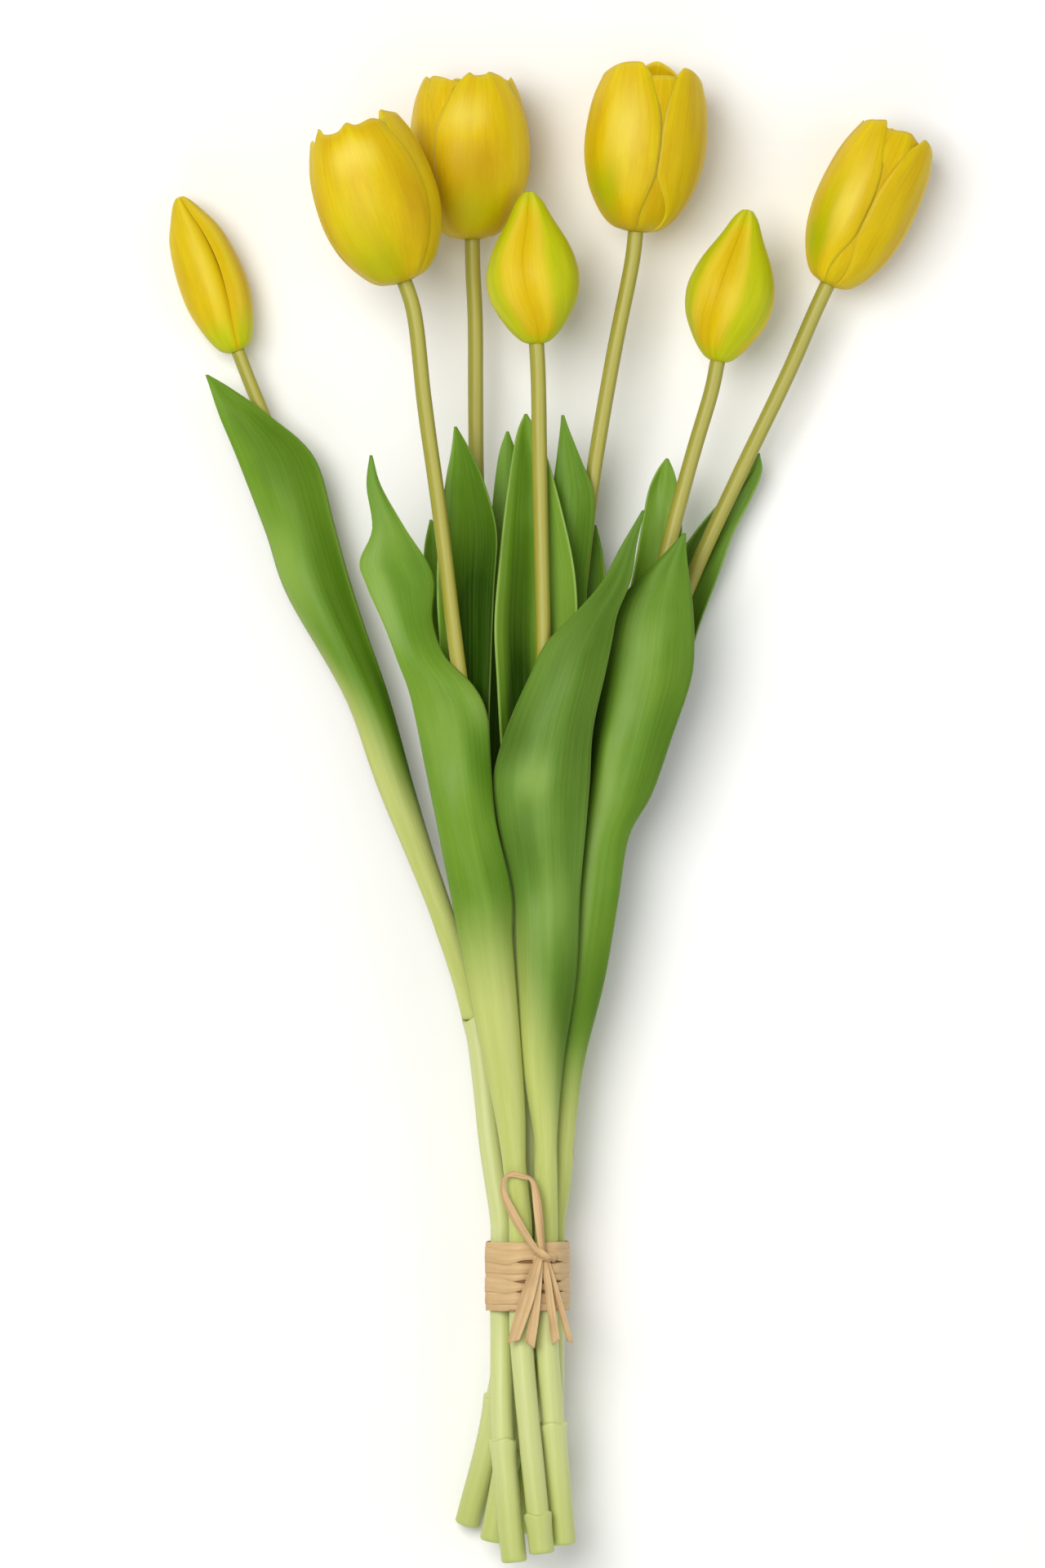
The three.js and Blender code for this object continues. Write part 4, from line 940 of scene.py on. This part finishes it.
def spunPiece(name, profile, matrix, steps=24):  # a profile of radius and height in mm, turned round its axis
    bm = bmesh.new()
    verts = [bm.verts.new((radius * mm, height * mm, 0)) for radius, height in profile]
    edges = [bm.edges.new(pair) for pair in zip(verts, verts[1:])]
    bmesh.ops.spin(bm, geom=verts + edges, cent=(0, 0, 0), axis=(0, 1, 0), angle=2 * math.pi, steps=steps,
                   use_merge=True)
    bmesh.ops.remove_doubles(bm, verts=bm.verts[:], dist=weldReach)
    bmesh.ops.recalc_face_normals(bm, faces=bm.faces[:])
    scaled = matrix.copy()
    scaled.translation = matrix.translation * mm
    bmesh.ops.transform(bm, matrix=scaled, verts=bm.verts[:])
    return finishedPiece(bm, name)


# What stands inside an open bloom: profiles as radius and height in mm
heartSettings = {
    "receptacle": [(0, 0), (2.4, 0), (3.2, 0.4), (3.6, 1.2), (3.7, 2.2), (3.2, 3.6), (2.2, 4.4), (0, 4.5)],
    "pistil": [(0, 0), (1.9, 0), (2.2, 0.8), (2.25, 4), (1.9, 10), (1.8, 14.6), (2.1, 16), (2.8, 17.2),
               (2.7, 18.2), (2.0, 19.2), (1.2, 19.5), (0, 19.2)],
    "filament": [(0, 0), (0.6, 0.2), (0.5, 3), (0.4, 6.6), (0.25, 7.4), (0, 7.5)],
    "anther": [(0, 6.6), (0.5, 6.9), (0.85, 7.8), (0.95, 10), (0.85, 13), (0.55, 15.2), (0, 16)],
    "raised": 4.9,
    "stamens": 6, "firstTurn": 30, "stamenFoot": (0, 0.2, 2.1), "stamenLean": 16, "stamenSides": 10,
}


def addHeart(bloomName):
    matrix = flowerPlace(tulips[bloomName])
    cup = spunPiece(f"bloom_{bloomName}_receptacle", heartSettings["receptacle"], matrix)
    dress(cup, f"bloom_{bloomName}", receptacleMaterial)
    raised = matrix @ Matrix.Translation((0, heartSettings["raised"], 0))
    column = spunPiece(f"pistil_{bloomName}_column", heartSettings["pistil"], raised)
    dress(column, f"pistil_{bloomName}", pistilMaterial)
    stamens = heartSettings["stamens"]
    lean = Matrix.Rotation(math.radians(heartSettings["stamenLean"]), 4, "X")
    for i in range(stamens):
        turn = Matrix.Rotation(math.radians(360 / stamens * i + heartSettings["firstTurn"]), 4, "Y")
        stood = raised @ turn @ Matrix.Translation(heartSettings["stamenFoot"]) @ lean
        for kind, material in (("filament", pistilMaterial), ("anther", antherMaterial)):
            name = f"pistil_{bloomName}_{kind}_{i}"
            piece = spunPiece(name, heartSettings[kind], stood, heartSettings["stamenSides"])
            dress(piece, f"pistil_{bloomName}", material)


budSettings = {"columns": 126, "rows": 80, "valley": 0.9, "seam": 0.2, "bulge": 0.25, "inset": 0.15}


def addBud(budName, bud):
    tulip = tulips[budName]
    matrix = flowerPlace(tulip)
    length = flowerLength(tulip)
    at = pathThrough(bud["outline"])
    groove = curveOver(bud["groove"])

    def petalSpot(u):  # which of the three petals, and the place across it
        share = (u + 1) / 2 * 3
        index = min(int(share + 1e-6), 2)
        return index, (share - index) * 2 - 1

    def place(u, v):
        index, across = petalSpot(u)
        width, level = at(v)
        angle = math.radians(groove(level) + 60 + 120 * index + 60 * across)
        valley = budSettings["valley"] * abs(across) ** 4 + budSettings["seam"] * smooth(0.85, 1, across)
        bulge = budSettings["bulge"] * noise.noise(Vector((across * 2.2 + index * 5, level * 2.5, 1.7)))
        full = width * bud["width"] / 2
        sunk = (valley + bulge + budSettings["inset"]) * math.sqrt(4 * level * max(0, 1 - level))
        radius = max(full * 0.5, full - sunk) * smooth(0, 0.012, v) * (1 - smooth(0.99, 1, v))
        spot = matrix @ Vector((radius * math.sin(angle), level * length, radius * math.cos(angle)))
        return spot.x, spot.y, max(spot.z, 0)

    def values(u, v):
        index, across = petalSpot(u)
        level = at(v)[1]
        wobble = 0.1 * noise.noise(Vector((index, level * 3, 4)))
        middle = bud["green"] * smooth(0.68, 0.28, abs(across) + wobble)
        tip = bud["green"] * smooth(0.8, 0.97, level)
        foot = smooth(bud["foot"] * 2.2, bud["foot"] * 0.6, level)
        # band: lighter stripes beside each groove, partly the petals' own paler margins and partly painted sheen
        band = 0.35 * math.exp(-((abs(across) - 0.6) / 0.16) ** 2) * smooth(0.05, 0.3, level)
        # seam: painted shade in the grooves
        seam = smooth(0.76, 0.94, abs(across)) * smooth(1, 0.85, level)
        return {"green": max(middle, foot, tip), "tones": band - seam}

    columns, rows, span = budSettings["columns"], budSettings["rows"], (bud["width"] * 0.3, length * 0.1)
    piece = gridPiece(f"bud_{budName}_petals", columns, rows, place, span, values, True)
    dress(piece, f"bud_{budName}", budMaterial)


petalLook = {
    "shader": {"Roughness": 0.42, "Specular IOR Level": 0.13, "Subsurface Weight": 0.5,
               "Subsurface Scale": 0.002, "Subsurface Radius": (1, 0.8, 0.12)},
    "fineStreaks": (13, 0.3), "broadStreaks": (1.3, 0.25), "bump": (0.12, 0.0004),
    # Below zero the tones darken the face as painted shade, above zero they lighten it as a painted sheen
    "yellow": [(208, 168, 0), (224, 196, 4)], "fine": (0.24, (234, 210, 52)), "gold": (-1, (176, 134, 0)),
    "satin": (1, (240, 214, 88)), "green": (1, (158, 174, 0)),
    "rim": (0.4, (232, 204, 84)), "margin": (0.47, 0.5), "tip": (0.97, 1),
}
budLook = {
    "shader": {"Roughness": 0.42, "Specular IOR Level": 0.13, "Subsurface Weight": 0.15,
               "Subsurface Scale": 0.002, "Subsurface Radius": (1, 0.85, 0.1)},
    "fineStreaks": (12, 0.3), "broadStreaks": (1.2, 0.25), "bump": (0.12, 0.0004),
    "yellow": [(202, 165, 0), (216, 190, 6)], "green": [(174, 184, 0), (195, 200, 0)],
    # In buds the darker colour is painted shade in the grooves, and the paler one a painted sheen on the bands
    "fine": (0.16, (230, 212, 70)), "gold": (-0.6, (210, 174, 0)), "satin": (1, (234, 214, 76)),
}
heartBump = {"cloudSize": 700, "strength": 0.2, "depth": 0.0004}
heartLooks = {
    "receptacle": {"roughness": 0.5, "tones": [(168, 176, 70), (204, 206, 112)]},
    "pistil": {"roughness": 0.6, "tones": [(160, 176, 74), (196, 202, 108)]},
    "anthers": {"roughness": 0.85, "tones": [(90, 70, 20), (150, 118, 32)]},
}


# The tones attribute lays painted shade below zero and painted sheen above it
def layered(tree, look, face, fine):  # the layers that petals and buds share
    tone = attribute(tree, "tones")
    for mask, layer in ((fine, "fine"), (tone, "gold"), (tone, "satin")):
        face = tinted(tree, face, mask, look[layer])
    return face


def paintPetal(tree, look, fine, broad):
    across, along = sharePlace(tree)
    face = layered(tree, look, twoTone(tree, broad, look["yellow"]), fine)
    face = tinted(tree, face, attribute(tree, "green"), look["green"])
    margin = ramp(tree, distanceFrom(tree, across), *look["margin"])
    rim = sums(tree, "MAXIMUM", margin, ramp(tree, along, *look["tip"]))
    return tinted(tree, face, rim, look["rim"])


def paintBud(tree, look, fine, broad):
    yellow, green = (twoTone(tree, broad, look[name]) for name in ("yellow", "green"))
    return layered(tree, look, mixed(tree, attribute(tree, "green"), yellow, green), fine)


def heartMaterial(name):
    material, tree, shader = newMaterial(name, {"Roughness": heartLooks[name]["roughness"]})
    clouds = mottleMask(tree, heartBump["cloudSize"])
    tree.links.new(twoTone(tree, clouds, heartLooks[name]["tones"]), shader.inputs["Base Color"])
    bumped(tree, shader, clouds, heartBump["strength"], heartBump["depth"])
    return material


petalMaterial = streakedMaterial("tulip petal", petalLook, paintPetal)
budMaterial = streakedMaterial("tulip bud", budLook, paintBud)
receptacleMaterial, pistilMaterial, antherMaterial = (heartMaterial(name) for name in heartLooks)
for bloomName, bloomForm in blooms.items():
    for petalIndex, (petalName, petalForm) in enumerate(bloomForm["petals"].items()):
        addPetal(bloomName, petalName, bloomForm, petalForm, petalIndex * 1.9 + bloomForm["width"])
    addHeart(bloomName)
for budName, budForm in buds.items():
    addBud(budName, budForm)
print("flowers made")

# Raffia

raffiaSettings = {
    "stem": 3.75, "gap": 0.75, "top": -131.9, "bottom": -153.2, "thickness": 0.3,  # mm
    "windings": 7, "overBand": 0.3, "layerStep": 0.12, "fold": 0.12, "drift": 0.3, "raggedEdge": 0.3,
    "half": 0.74, "halfLess": 0.42, "gapMiddle": -4.5, "partedBelow": (1, 3, 4),
    "bandInset": 0.8, "bandGap": 0.65, "bandShade": 2.2, "crumple": 0.2,
    "windingGrid": (8, 200), "bandGrid": (6, 160), "stripColumns": 12, "stripRows": 1.6,  # the last for each mm
}

# Strips from the knot, as points in mm with the width there. The fold raises the middle of a strip, and the
# slant cuts its end off at an angle.
raffiaStrips = {
    "loop": {"fold": 0.35, "slant": 0,
             "points": [(-3.4, -135.4, 33, 1.8), (-4.3, -127, 34.6, 2.5), (-5.1, -119.5, 35.2, 2.5),
                        (-6, -114.4, 35.4, 1.7), (-7.2, -112.5, 35.6, 1.2), (-9.4, -111.7, 35.8, 1.6),
                        (-12.2, -111.1, 35.7, 1.7), (-14.3, -111.7, 35.6, 1.2), (-15.5, -114, 35.4, 1.3),
                        (-15, -117.8, 35.2, 2.1), (-12.4, -123.2, 35, 2.7), (-8.6, -129.6, 34.8, 2.3),
                        (-4.6, -135.4, 33.8, 1.7)]},
    "tail_left": {"fold": 0.4, "slant": 1.1,
                  "points": [(-4.3, -136.6, 34.1, 2), (-5.9, -141.6, 34.7, 3.3), (-8.1, -149, 35, 4.3),
                             (-10.2, -155.6, 34.9, 4), (-12.3, -162.4, 34.4, 3.3)]},
    "tail_middle": {"fold": 0.2, "slant": -0.9,
                    "points": [(-4, -136.6, 33.2, 1.8), (-4.8, -145, 33.8, 2.4), (-5.8, -154, 33.8, 2.9),
                               (-7.2, -163.4, 33.4, 3.1)]},
    "tail_right": {"fold": 0.25, "slant": 0.7,
                   "points": [(-3, -136.6, 32.8, 1.7), (-1.8, -144, 32.9, 2.2), (-0.5, -154, 32.3, 2.6),
                              (0.7, -162.6, 31, 2.7)]},
    "tail_far_right": {"fold": 0.2, "slant": -0.6,
                       "points": [(-2.4, -136.4, 32.2, 1.4), (0.6, -146, 31.6, 1.7), (3, -155, 29.9, 1.9),
                                  (5.1, -162.6, 27.9, 1.9)]},
    "knot_under": {"fold": 0.3, "slant": 0,
                   "points": [(-6.4, -138.4, 31.4, 2.4), (-5.2, -137.2, 33.4, 2.4), (-3.2, -136.4, 34.3, 2.2),
                              (-1.2, -136.4, 33.2, 2.2), (0.6, -137.2, 31, 2.4)]},
    "knot_across": {"fold": 0.45, "slant": 0,
                    "points": [(-5.5, -133.8, 32, 2), (-4.9, -134.5, 33.9, 2.2), (-3.4, -135.6, 34.9, 2.3),
                               (-2, -136.8, 34.1, 2.2), (-1.2, -137.8, 32, 2)]},
}


def tieOutline(share, distance):  # the line round the six outer stems, at a distance from them
    pitch, grown = stemSettings["tiePitch"], raffiaSettings["stem"] + distance
    arc = grown * math.pi / 3
    along = (share % 1) * 6 * (arc + pitch)
    index = int(along / (arc + pitch))
    along -= index * (arc + pitch)
    middle = math.radians(-75 + 60 * index)
    centre = Vector((math.cos(middle), math.sin(middle))) * pitch + Vector(stemSettings["tieCentre"])
    angle = middle - math.pi / 6 + min(along, arc) / grown
    spot = centre + Vector((math.cos(angle), math.sin(angle))) * grown
    straight = max(0, along - arc)
    return spot + Vector((-math.sin(angle), math.cos(angle))) * straight, angle


def dressRaffia(piece):
    thicken(piece, raffiaSettings["thickness"])
    dress(piece, "raffia_tie", raffiaMaterial)


def addWinding(index, count):
    high, low = raffiaSettings["top"], raffiaSettings["bottom"]
    step = (high - low) / count
    level = high - step * (index + 0.5)
    distance = raffiaSettings["gap"] + raffiaSettings["overBand"]
    distance += raffiaSettings["layerStep"] * (index * 2 % 3)

    def turnAt(v, seed):
        return Vector((math.cos(2 * math.pi * v), math.sin(2 * math.pi * v), seed))

    def place(u, v):
        turn = turnAt(v, index * 7.3)
        fold = noise.noise(Vector((turn.x * 1.5, turn.y * 1.5, u * 1.2 + index * 3.1)))
        spot, _ = tieOutline(v, distance + raffiaSettings["fold"] * fold)
        nearKnot = smooth(11, 4, abs(spot.x - raffiaSettings["gapMiddle"])) * smooth(24, 27, spot.y)
        parted = (index - 1 if u > 0 else index) in raffiaSettings["partedBelow"]
        half = step * (raffiaSettings["half"] - raffiaSettings["halfLess"] * nearKnot * parted)
        y = level + raffiaSettings["drift"] * noise.noise(turn * 0.9) * step * (1 - nearKnot) + u * half
        edge = raffiaSettings["raggedEdge"] * (noise.noise(turn * 1.7) + 0.8)
        return Vector((spot.x, min(max(y, low + edge), high - edge), spot.y))

    def values(u, v):
        # painted shade on the lower half of each winding, and tone that differs at random along it
        return {"shade": 0.35 * smooth(0.1, -1, u) + 0.3 * noise.noise(turnAt(v, index * 5.1) * 2.2)}

    grid = raffiaSettings["windingGrid"]
    dressRaffia(gridPiece(f"raffia_winding_{index}", *grid, place, (0.42, 8), values, True))


def addInnerBand():  # the windings below the outer ones, which show only in the gaps
    high = raffiaSettings["top"] - raffiaSettings["bandInset"]
    low = raffiaSettings["bottom"] + raffiaSettings["bandInset"]

    def place(u, v):
        spot, _ = tieOutline(v, raffiaSettings["bandGap"])
        return Vector((spot.x, (high + low) / 2 + u * (high - low) / 2, spot.y))

    # the band is coloured dark as painted shade, seen in the gaps between the outer windings
    def values(u, v):
        return {"shade": raffiaSettings["bandShade"]}

    dressRaffia(gridPiece("raffia_inner_band", *raffiaSettings["bandGrid"], place, (2, 8), values, True))


def addStrip(name, strip, seed):
    at = pathThrough(strip["points"])
    length = sum(math.dist(a[:3], b[:3]) for a, b in zip(strip["points"], strip["points"][1:]))

    def place(u, v):
        x, y, z, width = at(v)
        ahead = (Vector(at(v + 0.012)[:3]) - Vector(at(v - 0.012)[:3])).normalized()
        across = ahead.cross(up).normalized()
        facing = across.cross(ahead)
        crease = 0.25 + 0.3 * noise.noise(Vector((v * length / 12, seed, 0)))
        raised = strip["fold"] * max(0, 1 - abs(u - crease) * 1.3)
        crumple = raffiaSettings["crumple"] * noise.noise(Vector((u * 1.6, v * length / 5, seed)))
        cut = strip["slant"] * u * smooth(0.8, 1, v)
        return Vector((x, y, z)) + across * (u * width / 2) + facing * (raised + crumple) + ahead * cut

    def values(u, v):
        # painted shade past the crease, and tone that differs at random along the strip
        return {"shade": 0.8 * smooth(0.2, 0.5, u) + 0.6 * noise.noise(Vector((v * length / 6, seed, 3)))}

    columns, rows = raffiaSettings["stripColumns"], round(length * raffiaSettings["stripRows"]) + 6
    dressRaffia(gridPiece(f"raffia_{name}", columns, rows, place, (0.3, length / 10), values))


raffiaLook = {
    "shader": {"Roughness": 0.6, "Specular IOR Level": 0.35},
    "fineStreaks": (26, 0.9), "broadStreaks": (6, 0.4), "bump": (0.35, 0.0003),
    "straw": [(198, 162, 110), (216, 184, 134)], "fine": (0.35, (230, 202, 156)),
    "shade": (0.42, (140, 98, 52)), "edge": (0.4, (226, 196, 148)), "margin": (0.42, 0.5),
}


def paintRaffia(tree, look, fine, broad):
    across, _ = sharePlace(tree)
    face = twoTone(tree, broad, look["straw"])
    edge = ramp(tree, distanceFrom(tree, across), *look["margin"])
    for mask, layer in ((fine, "fine"), (attribute(tree, "shade"), "shade"), (edge, "edge")):
        face = tinted(tree, face, mask, look[layer])
    return face


raffiaMaterial = streakedMaterial("raffia", raffiaLook, paintRaffia)
for windingIndex in range(raffiaSettings["windings"]):
    addWinding(windingIndex, raffiaSettings["windings"])
addInnerBand()
for stripIndex, (stripName, stripForm) in enumerate(raffiaStrips.items()):
    addStrip(stripName, stripForm, stripIndex * 2.7)
print("raffia made")
